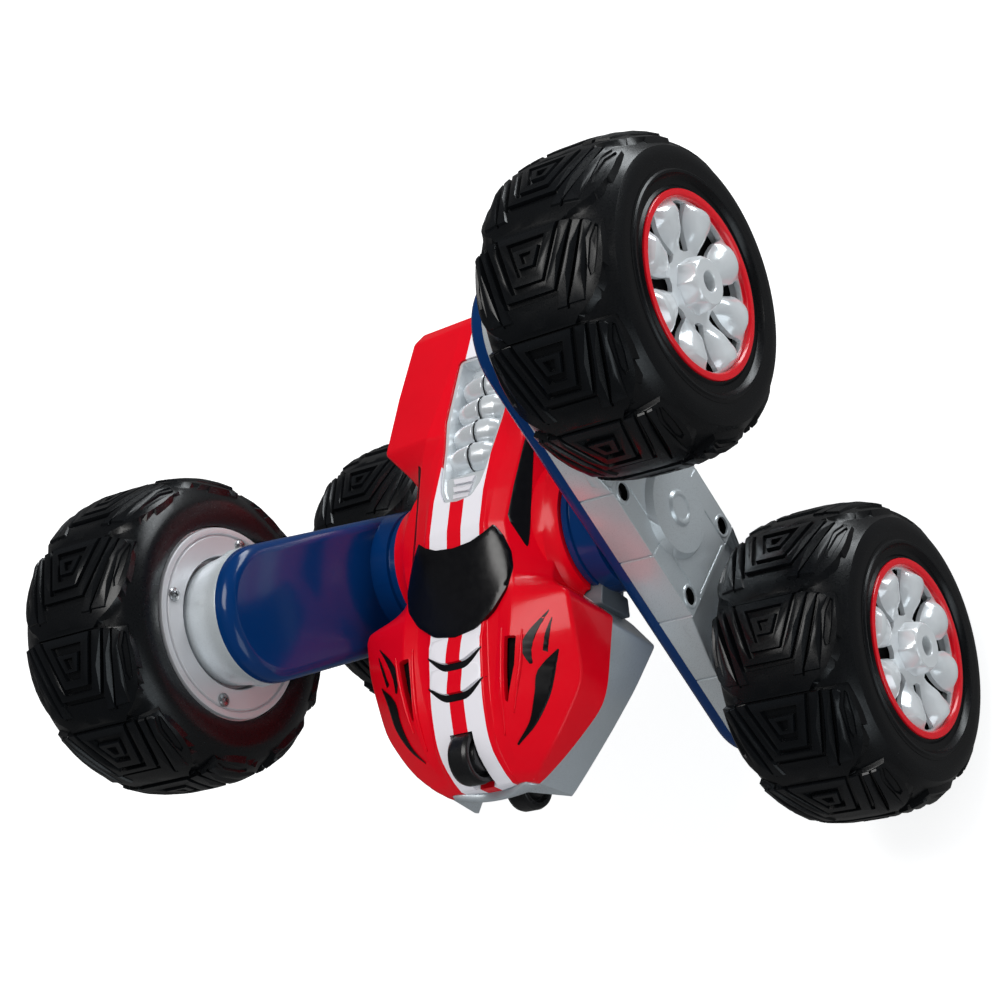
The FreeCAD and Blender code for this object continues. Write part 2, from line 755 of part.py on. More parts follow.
def make_hub_retainer(name, placement):
    """The ring that clips on the spigot's end, inside the body, and holds the arm on."""
    body = new_body()
    turned(body, [
        ("Size.spigot_end - Size.retainer_width", "Size.motor_radius + 0.3"),
        ("Size.spigot_end - Size.retainer_width", "Size.retainer_radius"),
        ("Size.spigot_end + 1.5", "Size.retainer_radius"),
        ("Size.spigot_end + 1.5", "Size.spigot_radius"),
        ("Size.spigot_end", "Size.spigot_radius"),
        ("Size.spigot_end", "Size.motor_radius + 0.3"),
    ])
    keep(body, name, placement)


def make_drive_motor(name, placement):
    """A brushed can motor with its bearing nose, end cap and shaft."""
    body = new_body()
    start, end = "Size.motor_inner_end", "Size.motor_outer_end"
    turned(body, [
        (f"{start} - 1.5", "0"),
        (f"{start} - 1.5", "Size.motor_radius - 4"),
        (start, "Size.motor_radius - 4"),
        (start, "Size.motor_radius"),
        (end, "Size.motor_radius"),
        (end, "3"),
        (f"{end} + 1.2", "3"),
        (f"{end} + 1.2", "Size.motor_shaft"),
        ("Size.first_layer_end + 0.8", "Size.motor_shaft"),
        ("Size.first_layer_end + 0.8", "0"),
    ])
    keep(body, name, placement)


# ---------------------------------------------------------------- body shells

# Half sections of the body from nose to tail: how far back, then (half width, height) corners
# from the seam up to the roof's middle, and from the seam down to the floor's middle.
UPPER_SECTIONS = (
    (-95.5, (18.0, 3.5), (17.0, 5.0), (14.0, 7.5), (8.0, 8.6), (0.0, 9.0)),
    (-92.0, (25.0, 3.5), (22.0, 8.0), (17.0, 14.0), (12.0, 15.6), (0.0, 16.0)),
    (-84.0, (34.0, 3.5), (31.0, 10.0), (19.0, 21.5), (13.0, 22.8), (0.0, 23.0)),
    (-72.0, (45.5, 3.5), (39.0, 12.5), (20.8, 27.5), (14.0, 27.3), (0.0, 27.2)),
    (-64.0, (47.6, 3.5), (43.5, 12.5), (22.3, 29.3), (14.0, 29.0), (0.0, 28.9)),
    (-50.0, (48.1, 3.5), (42.4, 16.0), (24.3, 31.7), (14.0, 31.2), (0.0, 31.0)),
    (-38.0, (48.5, 3.5), (41.0, 19.0), (24.5, 31.7), (14.0, 32.2), (0.0, 32.3)),
    (-30.0, (39.0, 3.5), (37.0, 19.5), (24.5, 31.2), (14.0, 33.4), (0.0, 33.6)),
    (-26.0, (34.0, 3.5), (33.5, 20.0), (24.3, 31.0), (14.0, 34.0), (0.0, 34.3)),
    (-8.0, (34.0, 3.5), (33.5, 20.0), (23.0, 31.0), (14.0, 36.4), (0.0, 37.0)),
    (8.0, (34.0, 3.5), (33.5, 20.0), (22.5, 31.0), (14.0, 35.6), (0.0, 36.0)),
    (26.0, (34.0, 3.5), (33.5, 20.0), (22.0, 30.4), (14.0, 32.0), (0.0, 32.2)),
    (29.5, (36.0, 3.5), (36.0, 22.5), (22.0, 30.2), (14.0, 31.2), (0.0, 31.4)),
    (38.6, (44.5, 3.5), (44.2, 28.4), (21.0, 31.4), (14.0, 29.6), (0.0, 29.5)),
    (64.0, (44.5, 3.5), (44.0, 24.0), (18.0, 25.6), (14.0, 25.0), (0.0, 25.0)),
    (91.0, (44.0, 3.5), (43.6, 18.0), (18.0, 19.3), (14.0, 19.4), (0.0, 19.6)),
    (95.5, (42.0, 3.5), (41.5, 15.5), (17.0, 17.0), (12.0, 17.2), (0.0, 17.4)),
)
LOWER_SECTIONS = (
    (-95.5, (18.0, 3.5), (16.0, -9.0), (10.0, -10.0), (0.0, -10.0)),
    (-92.0, (25.0, 3.5), (22.0, -12.5), (13.0, -15.0), (0.0, -15.0)),
    (-84.0, (34.0, 3.5), (31.4, -15.0), (18.0, -21.0), (0.0, -21.0)),
    (-72.0, (45.5, 3.5), (38.6, -17.5), (22.0, -25.5), (0.0, -25.5)),
    (-57.0, (47.9, 3.5), (44.6, -20.0), (24.0, -29.0), (0.0, -29.0)),
    (-40.0, (48.4, 3.5), (48.5, -22.0), (26.0, -30.0), (0.0, -30.0)),
    (-30.0, (39.0, 3.5), (38.8, -22.5), (28.0, -30.0), (0.0, -30.0)),
    (-26.0, (34.0, 3.5), (34.0, -22.5), (28.0, -30.0), (0.0, -30.0)),
    (26.0, (34.0, 3.5), (34.0, -22.5), (28.0, -30.0), (0.0, -30.0)),
    (38.6, (44.5, 3.5), (44.0, -22.5), (29.0, -30.0), (0.0, -30.0)),
    (78.0, (44.3, 3.5), (44.0, -20.0), (29.0, -30.0), (0.0, -30.0)),
    (95.5, (42.0, 3.5), (41.0, -11.0), (26.0, -17.0), (0.0, -17.0)),
)


def loft_sections(sections, inset=0.0, lift=0.0, spread=0.0):
    """A faceted solid through the sections; an inset makes the hollow, lift and spread a skin."""
    seam = size("seam_height")
    down = sections[0][-1][1] < seam
    wires = []
    last = len(sections) - 1
    for number, (back, *corners) in enumerate(sections):
        if number == 0:
            back += inset
        if number == last:
            back -= inset
        half = []
        for across, height in corners:
            if across > 0:
                across = max(across - inset + spread, 0.5)
            if height == seam:
                height += 1.0 if (down and inset) else 0.0
                height -= 1.0 if (not down and inset) else 0.0
            else:
                height += (inset if down else -inset) + lift
            half.append(VECTOR(across, back, height))
        mirrored = [VECTOR(-p.x, p.y, p.z) for p in reversed(half[:-1])]
        ring = half + mirrored
        wires.append(Part.makePolygon(ring + [ring[0]]))
    return Part.makeLoft(wires, True, True)


def box_solid(low, high):
    return Part.makeBox(high[0] - low[0], high[1] - low[1], high[2] - low[2], VECTOR(*low))


def prism_up(points, low, high):
    """A plan outline of (x, y) points, mirrored across the middle, pulled up."""
    half = [VECTOR(across, back, low) for across, back in points]
    other = [VECTOR(-p.x, p.y, p.z) for p in reversed(half) if p.x > 0.001]
    ring = half + other
    return Part.Face(Part.makePolygon(ring + [ring[0]])).extrude(VECTOR(0, 0, high - low))


SCREEN_OUTLINE = (
    (0.0, -13.0), (10.0, -11.5), (17.2, -7.2), (20.6, -11.5), (23.4, -18.0), (24.2, -24.0),
    (22.6, -32.1), (17.1, -38.7), (11.2, -44.0), (0.0, -46.0),
)
BAY_OUTLINE = (
    (0.0, 6.0), (6.0, 7.0), (9.2, 11.7), (10.8, 18.0), (12.4, 31.0), (14.2, 44.0), (14.2, 71.0),
    (12.0, 73.0), (0.0, 73.0),
)
PANEL_OUTLINE = ((-13.0, 29.6), (-4.0, 31.0), (22.0, 30.0), (33.0, 24.5), (24.0, 24.0), (-6.0, 23.5))
SHELL_POSTS = ((29.0, -62.0), (37.0, 66.0))
PIPE_ROWS = 4
PIPE_FRONT = 29.0
PIPE_STEP = 9.6
PIPE_HEIGHT = 28.4
PIPE_FALL = 1.5
PIPE_RADIUS = 4.1


def hub_bosses(above):
    """The round bosses on the flanks that face the arms' collars, halved at the seam."""
    seam = size("seam_height")
    face = size("hub_boss_face")
    start = size("flank_half") - size("shell_wall")
    ring = solid_rod(start, face, size("hub_boss_radius"))
    ring = ring.fuse(solid_rod(-face, -start, size("hub_boss_radius")))
    low, high = (seam, 60.0) if above else (-60.0, seam)
    return ring.common(box_solid((-60, -60, low), (60, 60, high)))


def hub_bore():
    reach = size("hub_boss_face") + 5
    return solid_rod(-reach, reach, size("spigot_radius") + size("running_gap"))


def roller_pocket(ahead, height):
    """Room for a nose roller, open to the front."""
    half = size("roller_half") + size("roller_gap")
    reach = size("roller_radius") + size("roller_gap")
    return box_solid((-half, -ahead - reach - 5, height - reach), (half, -ahead + reach, height + reach + 8))


def roller_ears(ahead, height):
    """The two lugs that hold a roller's pin."""
    half = size("roller_half") + size("roller_gap")
    thick = 2.6
    ears = None
    for sign in (-1, 1):
        start = half if sign > 0 else -half - thick
        ear = Part.makeCylinder(4.0, thick, VECTOR(start, -ahead, height), ALONG_X)
        ears = ear if ears is None else ears.fuse(ear)
    return ears


def pin_hole(ahead, height):
    reach = size("roller_half") + size("roller_gap") + 2.6
    return Part.makeCylinder(size("pin_radius"), 2 * reach, VECTOR(-reach, -ahead, height), ALONG_X)


def shell_posts(low, high, radius):
    posts = None
    for across, back in SHELL_POSTS:
        for sign in (-1, 1):
            post = Part.makeCylinder(radius, high - low, VECTOR(sign * across, back, low))
            posts = post if posts is None else posts.fuse(post)
    return posts


def make_hood_shell():
    """The red upper shell: faceted hood, cockpit hump and box-shaped rear shoulders."""
    wall = size("shell_wall")
    outer = loft_sections(UPPER_SECTIONS)
    shell = outer.cut(loft_sections(UPPER_SECTIONS, inset=wall))
    ears = roller_ears(size("upper_roller_ahead"), size("upper_roller_height"))
    posts = shell_posts(size("seam_height"), 40.0, 3.6)
    shell = shell.fuse([hub_bosses(True), ears.common(outer), posts.common(outer)])
    shell = shell.cut(hub_bore())
    shell = shell.cut(roller_pocket(size("upper_roller_ahead"), size("upper_roller_height")))
    shell = shell.cut(pin_hole(size("upper_roller_ahead"), size("upper_roller_height")))
    shell = shell.cut(prism_up(BAY_OUTLINE, 10.0, 60.0))
    shell = shell.cut(shell_posts(size("seam_height") - 1, 12.0, size("screw_shank")))
    for sign in (-1, 1):
        slot = box_solid((min(sign * 20.2, sign * 23.6), -72.0, 10.0),
                         (max(sign * 20.2, sign * 23.6), -53.0, 40.0))
        shell = shell.cut(slot)
    shaped(shell.removeSplitter(), "hood_shell", None)


def make_lower_shell():
    """The silver tub, with the battery bay's opening, the switch slot and the screw posts."""
    wall = size("shell_wall")
    floor = size("body_bottom")
    outer = loft_sections(LOWER_SECTIONS)
    shell = outer.cut(loft_sections(LOWER_SECTIONS, inset=wall))
    ears = roller_ears(size("lower_roller_ahead"), size("lower_roller_height"))
    posts = shell_posts(-40.0, size("seam_height"), 3.6)
    shell = shell.fuse([hub_bosses(False), ears.common(outer), posts.common(outer)])
    shell = shell.cut(hub_bore())
    ahead, height = size("lower_roller_ahead"), size("lower_roller_height")
    half = size("roller_half") + size("roller_gap")
    reach = size("roller_radius") + size("roller_gap")
    shell = shell.cut(box_solid((-half, -ahead - reach - 5, height - reach - 8),
                                (half, -ahead + reach, height + reach)))
    shell = shell.cut(pin_hole(ahead, height))
    gap = size("trim_gap")
    door = size("door_half") + gap
    shell = shell.cut(box_solid((-door, size("door_front") - gap, floor - 5),
                                (door, size("door_rear") + gap, floor + size("door_thick"))))
    shell = shell.cut(box_solid((-door + 3, size("door_front") + 2, floor - 5),
                                (door - 3, size("door_rear") - 2, floor + wall + 1)))
    shell = shell.cut(shell_posts(-40.0, size("seam_height") - 3, size("screw_head") + 0.2))
    shell = shell.cut(shell_posts(-40.0, size("seam_height") + 1, size("screw_shank") + 0.2))
    shell = shell.cut(box_solid((-6.0, -38.0, floor - 1), (6.0, -28.0, floor + wall + 1)))
    shaped(shell.removeSplitter(), "lower_shell", None)


def skin_over(outline_solid, lift, spread):
    """A thin plate that follows the upper shell under an outline."""
    thick = loft_sections(UPPER_SECTIONS, lift=lift, spread=spread)
    return thick.cut(loft_sections(UPPER_SECTIONS)).common(outline_solid)


def make_windscreen():
    plate = skin_over(prism_up(SCREEN_OUTLINE, 15.0, 60.0), size("skin"), 0.0)
    shaped(plate, "windscreen", None)


def make_side_panel(name, sign):
    ring = [VECTOR(15.0, back, height) for back, height in PANEL_OUTLINE]
    face = Part.Face(Part.makePolygon(ring + [ring[0]]))
    plate = skin_over(face.extrude(ALONG_X * 30), 0.0, size("skin"))
    if sign < 0:
        plate = plate.mirror(VECTOR(0, 0, 0), ALONG_X)
    shaped(plate, name, None)


def lowered(depth):
    """The body's upper form, moved straight down."""
    form = loft_sections(UPPER_SECTIONS)
    form.translate(VECTOR(0, 0, -depth))
    return form


def make_engine_insert():
    """The silver mock engine: a tray that fills the bay, with four pairs of round pipes."""
    gap = size("trim_gap")
    thick = size("shell_wall")
    fitted = tuple((max(across - gap, 0.0), back + (gap if back < 40 else -gap))
                   for across, back in BAY_OUTLINE)
    inside = tuple((max(across - thick, 0.0), min(max(back, 9.5), 70.0)) for across, back in fitted)
    tray = prism_up(fitted, 12.0, 60.0).common(lowered(3.0))
    tray = tray.cut(prism_up(inside, 5.0, 60.0).common(lowered(3.0 + thick)))
    pipes = []
    for row in range(PIPE_ROWS):
        back = PIPE_FRONT + PIPE_STEP * row
        height = PIPE_HEIGHT - PIPE_FALL * row
        for sign in (-1, 1):
            start = VECTOR(sign * 1.2, back, height)
            pipe = Part.makeCylinder(PIPE_RADIUS, 7.0 + 0.35 * row, start, VECTOR(sign, 0, -0.12))
            pipes.append(pipe.fuse(Part.makeSphere(PIPE_RADIUS, VECTOR(sign * 1.6, back, height))))
    shaped(tray.fuse(pipes).removeSplitter(), "engine_insert", None)


# ---------------------------------------------------------------- body fittings


def make_roller(name, ahead, height):
    """A small dished roller at the nose that stops the body digging in when the car flips."""
    body = new_body()
    half, bore = "Size.roller_half", "Size.pin_radius + Size.running_gap"
    turned(body, [
        (f"-{half}", bore),
        (f"-{half}", "Size.roller_radius - 4.5"),
        (f"-{half} + 2", "Size.roller_radius - 3.5"),
        (f"-{half}", "Size.roller_radius - 2"),
        (f"-{half} + 1", "Size.roller_radius - 0.3"),
        ("0", "Size.roller_radius"),
        (f"{half} - 1", "Size.roller_radius - 0.3"),
        (half, "Size.roller_radius - 2"),
        (f"{half} - 2", "Size.roller_radius - 3.5"),
        (half, "Size.roller_radius - 4.5"),
        (half, bore),
    ])
    place = FreeCAD.Placement(VECTOR(0, -size(ahead), size(height)), FreeCAD.Rotation())
    keep(body, name, place)


def make_roller_pins():
    reach = "Size.roller_half + Size.roller_gap + 2.6"
    pins = []
    for which in ("upper", "lower"):
        pin = rod(f"-({reach})", reach, "Size.pin_radius")
        pins.append(move(pin, f"-Size.{which}_roller_ahead", f"Size.{which}_roller_height"))
    keep(join(pins), "roller_pins")


def make_battery_pack():
    """Six round cells in two layers of three, in a shrink wrap."""
    cells = []
    floor = "Size.body_bottom + Size.shell_wall"
    for layer in range(2):
        for row in range(3):
            cell = doc.addObject("Part::Cylinder", "Cell")
            lying = FreeCAD.Rotation(VECTOR(0, 1, 0), 90)
            cell.Placement = FreeCAD.Placement(VECTOR(0, 0, 0), lying)
            cell.setExpression("Radius", "Size.cell_radius")
            cell.setExpression("Height", "Size.cell_length")
            cell.setExpression("Placement.Base.x", "-Size.cell_length / 2")
            cell.setExpression("Placement.Base.y", f"Size.door_front + 10.5 + {row} * Size.cell_pitch")
            height = f"{floor} + 1.4 + Size.cell_radius + {layer} * Size.cell_pitch"
            cell.setExpression("Placement.Base.z", height)
            cells.append(cell)
    wrap = block(("1 - Size.cell_length / 2", "Size.door_front + 10.5", f"{floor} + 1.4 + Size.cell_radius / 2"),
                 ("Size.cell_length / 2 - 1", "Size.door_front + 10.5 + 2 * Size.cell_pitch",
                  f"{floor} + 1.4 + Size.cell_radius * 1.5 + Size.cell_pitch"))
    keep(join(cells + [wrap]), "battery_pack")


def make_battery_door():
    """The flat hatch under the battery; its outside face is the car's flat underside."""
    body = new_body()
    outline = sketch_on(body, "XY_Plane", "Size.body_bottom")
    draw_polygon(outline, [
        ("-Size.door_half", "Size.door_front"),
        ("Size.door_half", "Size.door_front"),
        ("Size.door_half", "Size.door_rear"),
        ("-Size.door_half", "Size.door_rear"),
    ])
    pad(body, outline, "Size.door_thick")
    keep(body, "battery_door")


def make_control_board():
    """The receiver board with its antenna coil, two motor drivers and the crystal."""
    height = "Size.body_bottom + 12"
    board = block(("-20", "-74", height), ("20", "-24", f"{height} + 1.6"))
    top = f"{height} + 1.5"
    chips = [
        block(("-14", "-66", top), ("-4", "-56", f"{height} + 4")),
        block(("3", "-66", top), ("13", "-56", f"{height} + 4")),
        block(("-8", "-48", top), ("8", "-34", f"{height} + 3.4")),
    ]
    keep(join([board] + chips), "control_board")


def make_power_switch():
    """The slider of the on-off switch, in its slot under the body."""
    floor = "Size.body_bottom"
    flange = block(("-7.5", "-36.8", f"{floor} + Size.shell_wall + 0.1"),
                   ("7.5", "-29.0", f"{floor} + Size.shell_wall + 1.6"))
    stem = block(("-5.8", "-37.8", f"{floor} - 0.4"), ("5.8", "-32.2", f"{floor} + Size.shell_wall + 1.0"))
    keep(join([flange, stem]), "power_switch")


def make_shell_screws():
    screws = []
    seat = size("seam_height") - 3
    for across, back in SHELL_POSTS:
        for sign in (-1, 1):
            head = Part.makeCylinder(size("screw_head"), 2.4, VECTOR(sign * across, back, seat - 2.4))
            shank = Part.makeCylinder(size("screw_shank"), 10.0, VECTOR(sign * across, back, seat))
            screws.append(head.fuse(shank))
    shaped(Part.makeCompound(screws), "shell_screws", None)


# ---------------------------------------------------------------- build

for side in ("left", "right"):
    at_hub = on_arm(side)
    make_arm_inner_shell(f"{side}_arm_inner_shell", at_hub)
    make_arm_outer_shell(f"{side}_arm_outer_shell", at_hub)
    make_cover_screws(f"{side}_cover_screws", at_hub)
    make_hub_retainer(f"{side}_hub_retainer", at_hub)
    make_drive_motor(f"{side}_drive_motor", at_hub)
    make_pinion(f"{side}_motor_pinion", at_hub)
    make_gear_pins(f"{side}_gear_pins", at_hub)
    for end in ("front", "rear"):
        direction = end_sign(side, end)
        train = gear_train(direction)
        at_wheel = on_arm(side, direction * size("wheel_offset"))
        corner = f"{side}_{end}"
        make_reduction_gear(f"{corner}_reduction_gear", on_arm(side, train["reduction_at"]),
                            train["reduction"])
        make_idler_gear(f"{corner}_idler_gear", on_arm(side, train["idler_at"]), train["idler"])
        make_axle(f"{corner}_axle", at_wheel, train["axle"])
        make_tyre(f"{corner}_tyre", at_wheel)
        make_rim(f"{corner}_rim", at_wheel)
        make_rim_ring(f"{corner}_rim_ring", at_wheel)
        make_inner_disc(f"{corner}_inner_disc", at_wheel)
        make_disc_screws(f"{corner}_disc_screws", at_wheel)

make_hood_shell()
make_lower_shell()
make_windscreen()
make_side_panel("left_side_panel", 1)
make_side_panel("right_side_panel", -1)
make_engine_insert()
make_roller("upper_roller", "upper_roller_ahead", "upper_roller_height")
make_roller("lower_roller", "lower_roller_ahead", "lower_roller_height")
make_roller_pins()
make_battery_pack()
make_battery_door()
make_control_board()
make_power_switch()
make_shell_screws()

doc.recompute()
for item in doc.Objects:
    if "Invalid" in item.State or "Error" in item.State:
        raise RuntimeError(f"{item.Label} failed: {item.State}")
for piece in pieces:
    if piece.Shape.isNull() or not piece.Shape.isValid():
        raise RuntimeError(f"{piece.Label} has no valid shape")
for piece in pieces:
    piece.Shape.exportStep(f"parts/{piece.Label}.step")
print(len(pieces), "pieces")
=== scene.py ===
"""Looks of a radio-controlled stunt car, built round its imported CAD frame.

The frame is in metres: X along the arms' pivot (+X is the car's left), nose towards -Y, +Z up.
Shapes here are drawn in millimetres. Wheel and arm pieces are drawn for the car's left side,
outside towards +X, and mirrored in X for the right.
"""

import json
from math import atan2, copysign, cos, degrees, dist, hypot, pi, radians, sin, sqrt, tan

import bmesh
import bpy
from mathutils import Matrix, Vector
from mathutils.bvhtree import BVHTree
from mathutils.geometry import delaunay_2d_cdt


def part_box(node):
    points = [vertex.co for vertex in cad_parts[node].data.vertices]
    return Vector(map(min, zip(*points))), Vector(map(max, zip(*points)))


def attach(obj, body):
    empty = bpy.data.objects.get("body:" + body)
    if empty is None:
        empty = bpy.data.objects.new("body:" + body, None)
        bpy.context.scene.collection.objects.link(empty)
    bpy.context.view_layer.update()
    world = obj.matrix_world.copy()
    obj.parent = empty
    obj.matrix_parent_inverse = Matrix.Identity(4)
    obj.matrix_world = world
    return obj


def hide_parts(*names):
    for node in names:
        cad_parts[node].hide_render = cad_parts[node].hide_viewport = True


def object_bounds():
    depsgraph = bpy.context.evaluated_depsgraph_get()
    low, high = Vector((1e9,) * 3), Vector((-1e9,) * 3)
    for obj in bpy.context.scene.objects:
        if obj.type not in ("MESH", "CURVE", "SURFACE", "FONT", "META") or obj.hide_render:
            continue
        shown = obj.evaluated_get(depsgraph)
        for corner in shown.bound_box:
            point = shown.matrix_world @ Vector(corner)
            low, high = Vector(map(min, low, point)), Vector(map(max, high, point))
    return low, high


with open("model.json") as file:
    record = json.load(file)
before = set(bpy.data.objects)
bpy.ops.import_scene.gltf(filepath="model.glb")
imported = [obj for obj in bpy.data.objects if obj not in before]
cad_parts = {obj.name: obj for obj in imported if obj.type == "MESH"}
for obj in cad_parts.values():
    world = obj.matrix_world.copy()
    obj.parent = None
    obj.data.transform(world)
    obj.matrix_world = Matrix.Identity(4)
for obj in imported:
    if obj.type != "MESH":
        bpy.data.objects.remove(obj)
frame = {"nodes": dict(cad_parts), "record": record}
cad_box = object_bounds()

MM = 0.001
CORNERS = ("left_front", "left_rear", "right_front", "right_rear")
SIDES = ("left", "right")


def centre_of(node):
    low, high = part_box(node)
    return (low + high) / 2 / MM


WHEEL_AT = {corner: centre_of(corner + "_rim") for corner in CORNERS}
ARM_TILT = {side: atan2(-WHEEL_AT[side + "_front"].z, -WHEEL_AT[side + "_front"].y) for side in SIDES}
WHEEL_OFFSET = hypot(WHEEL_AT["left_front"].y, WHEEL_AT["left_front"].z)


# ---------------------------------------------------------------- small maths


def rectangle(x0, x1, y0, y1):
    return [(x0, y0), (x1, y0), (x1, y1), (x0, y1)]


def circle_points(y, z, radius, count=48, start=0.0, turn=2 * pi):
    """Points of a circle, or of an arc that holds both its ends."""
    steps = count if turn >= 2 * pi else count - 1
    return [(y + radius * cos(start + turn * k / steps), z + radius * sin(start + turn * k / steps))
            for k in range(count)]


def lerp(a, b, t):
    return a + (b - a) * t


def smoothstep(low, high, value):
    t = min(max((value - low) / (high - low), 0.0), 1.0)
    return t * t * (3 - 2 * t)


def spline(points, per_span=6):
    """A Catmull-Rom curve through points of any dimension, kept as tuples."""
    ends = [points[0]] + list(points) + [points[-1]]
    curve = []
    for i in range(1, len(ends) - 2):
        p0, p1, p2, p3 = ends[i - 1:i + 3]
        for k in range(per_span):
            t = k / per_span
            curve.append(tuple(
                0.5 * (2 * b + (c - a) * t + (2 * a - 5 * b + 4 * c - d) * t * t
                       + (3 * b - a - 3 * c + d) * t ** 3)
                for a, b, c, d in zip(p0, p1, p2, p3)))
    curve.append(tuple(points[-1]))
    return curve


def rounded(corners, radii, steps=4, closed=False):
    """A polyline whose corners are replaced by arcs; radii is one number or one for each corner."""
    count = len(corners)
    if not hasattr(radii, "__len__"):
        radii = [radii] * count
    path = []
    for i, (corner, radius) in enumerate(zip(corners, radii)):
        here = Vector(corner)
        if radius <= 0 or (not closed and i in (0, count - 1)):
            path.append(tuple(here))
            continue
        before = Vector(corners[i - 1]) - here
        after = Vector(corners[(i + 1) % count]) - here
        reach = max(radius / tan(before.angle(after) / 2), 0.02)
        reach = min(reach, before.length * 0.48, after.length * 0.48)
        start, end = here + before.normalized() * reach, here + after.normalized() * reach
        for t in (k / steps for k in range(steps + 1)):
            path.append(tuple(start * (1 - t) ** 2 + here * 2 * t * (1 - t) + end * t * t))
    return path


# ---------------------------------------------------------------- mesh helpers


CARVE_WELD = 0.003


def linked(name, data):
    """A new object of the scene."""
    item = bpy.data.objects.new(name, data)
    bpy.context.scene.collection.objects.link(item)
    return item


def new_object(name, mesh, weld):
    """An object from points in millimetres, welded and cleaned, its faces turned outwards."""
    data = bpy.data.meshes.new(name)
    data.from_pydata([Vector(v) * MM for v in mesh[0]], [], mesh[1])
    work = bmesh.new()
    work.from_mesh(data)
    bmesh.ops.remove_doubles(work, verts=work.verts, dist=weld * MM)
    bmesh.ops.dissolve_degenerate(work, edges=work.edges, dist=weld * MM / 2)
    bmesh.ops.recalc_face_normals(work, faces=work.faces)
    work.to_mesh(data)
    work.free()
    return linked(name, data)


def add_piece(name, mesh, finish, stands_for=(), body="chassis", sharp=32, weld=0.004):
    """Makes a piece, hangs it on its body, and hides the CAD nodes that it stands for."""
    piece = new_object(name, mesh, weld)
    for polygon in piece.data.polygons:
        polygon.use_smooth = True
    piece.data.set_sharp_from_angle(angle=radians(sharp))
    piece.data.materials.append(finish)
    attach(piece, body)
    if stands_for:
        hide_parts(*stands_for)
    return piece


def add(*meshes):
    """Joins (points, faces) pairs into one."""
    verts, faces = [], []
    for points, polygons in meshes:
        start = len(verts)
        verts.extend(points)
        faces.extend(tuple(start + i for i in face) for face in polygons)
    return verts, faces


def moved(mesh, change):
    """The mesh with each point put through a function."""
    return [tuple(change(Vector(v))) for v in mesh[0]], mesh[1]


def turned(angle):
    """Turns points about X by an angle in degrees."""
    turn = Matrix.Rotation(radians(angle), 3, "X")
    return lambda v: turn @ v


def soften(piece, width, angle):
    """Rounds a piece's hard edges by a small radius."""
    edge = piece.modifiers.new("edge", "BEVEL")
    edge.width = width * MM
    edge.segments = 2
    edge.limit_method = "ANGLE"
    edge.angle_limit = radians(angle)


def lathe(profile, segments=96, closed=True, shape=None):
    """Turns (x, radius) points about X. shape(x, angle) can scale a ring's radius."""
    verts, faces = [], []
    count = len(profile)
    for k in range(segments):
        angle = 2 * pi * k / segments
        for x, radius in profile:
            scale = shape(x, angle) if shape else 1.0
            verts.append((x, radius * scale * cos(angle), radius * scale * sin(angle)))
        here, following = k * count, ((k + 1) % segments) * count
        for i in range(count if closed else count - 1):
            j = (i + 1) % count
            faces.append((here + i, following + i, following + j, here + j))
    return verts, faces


def ring_stack(rings):
    """Skins closed rings that have the same number of points, and closes its two ends."""
    count, last = len(rings[0]), (len(rings) - 1) * len(rings[0])
    verts = [point for ring in rings for point in ring]
    faces = []
    for here in range(0, last, count):
        for i in range(count):
            j = (i + 1) % count
            faces.append((here + i, here + j, here + count + j, here + count + i))
    faces.append(tuple(reversed(range(count))))
    faces.append(tuple(range(last, last + count)))
    return verts, faces


# ---------------------------------------------------------------- relief sheets
# A relief sheet is a flat cell cut into triangles along the outlines of its regions. Each region is
# (outline, inner outline, level): the level holds inside the inner outline, and the wall runs between.


MITRE_LIMIT = 0.35           # keeps a sharp corner's mitre short
ON_EDGE = 0.03               # a point this near an outline counts as inside it


def sides(polygon):
    """Each side of a polygon as its two end points."""
    return zip([polygon[-1], *polygon], polygon)


def loops_of(regions):
    """The outlines that cut a sheet: an opening has no inner one."""
    return [loop for outline, inner, level in regions
            for loop in ((outline,) if level is None else (outline, inner))]


def inside(polygon, x, y):
    hit = False
    for (xj, yj), (xi, yi) in sides(polygon):
        if (yi > y) != (yj > y) and x < (xj - xi) * (y - yi) / (yj - yi) + xi:
            hit = not hit
    return hit


def gap_to(polygon, x, y):
    """Distance from a point to a polygon's outline."""
    best = 1e9
    for (ax, ay), (bx, by) in sides(polygon):
        dx, dy = bx - ax, by - ay
        length = dx * dx + dy * dy
        t = 0.0 if length == 0 else min(max(((x - ax) * dx + (y - ay) * dy) / length, 0.0), 1.0)
        best = min(best, hypot(x - ax - t * dx, y - ay - t * dy))
    return best


def inset(polygon, distance):
    """Moves each corner of a polygon inwards along its mitre."""
    area = sum(x0 * y1 - x1 * y0 for (x0, y0), (x1, y1) in sides(polygon))
    sign = copysign(1.0, area)
    result = []
    for i, corner in enumerate(polygon):
        here = Vector(corner)
        a = (here - Vector(polygon[i - 1])).normalized()
        b = (Vector(polygon[(i + 1) % len(polygon)]) - here).normalized()
        mitre = Vector((-a.y - b.y, a.x + b.x)) * sign
        result.append(tuple(here + mitre * distance / max(mitre.length_squared / 2, MITRE_LIMIT)))
    return result


def region(outline, level, wall=0.3, inner=None):
    """One area of a relief sheet; a level of None is an opening."""
    return list(outline), list(inner) if inner else inset(outline, wall), level


def clip_span(a, b, low, high):
    """The part of segment ab whose first coordinate is between low and high, or None."""
    (ax, ay), (bx, by) = a, b
    if max(ax, bx) < low or min(ax, bx) > high:
        return None
    if abs(ax - bx) < 1e-9:
        return a, b
    edges = (min(max(x, low), high) for x in (ax, bx))
    return tuple((edge, ay + (by - ay) * (edge - ax) / (bx - ax)) for edge in edges)


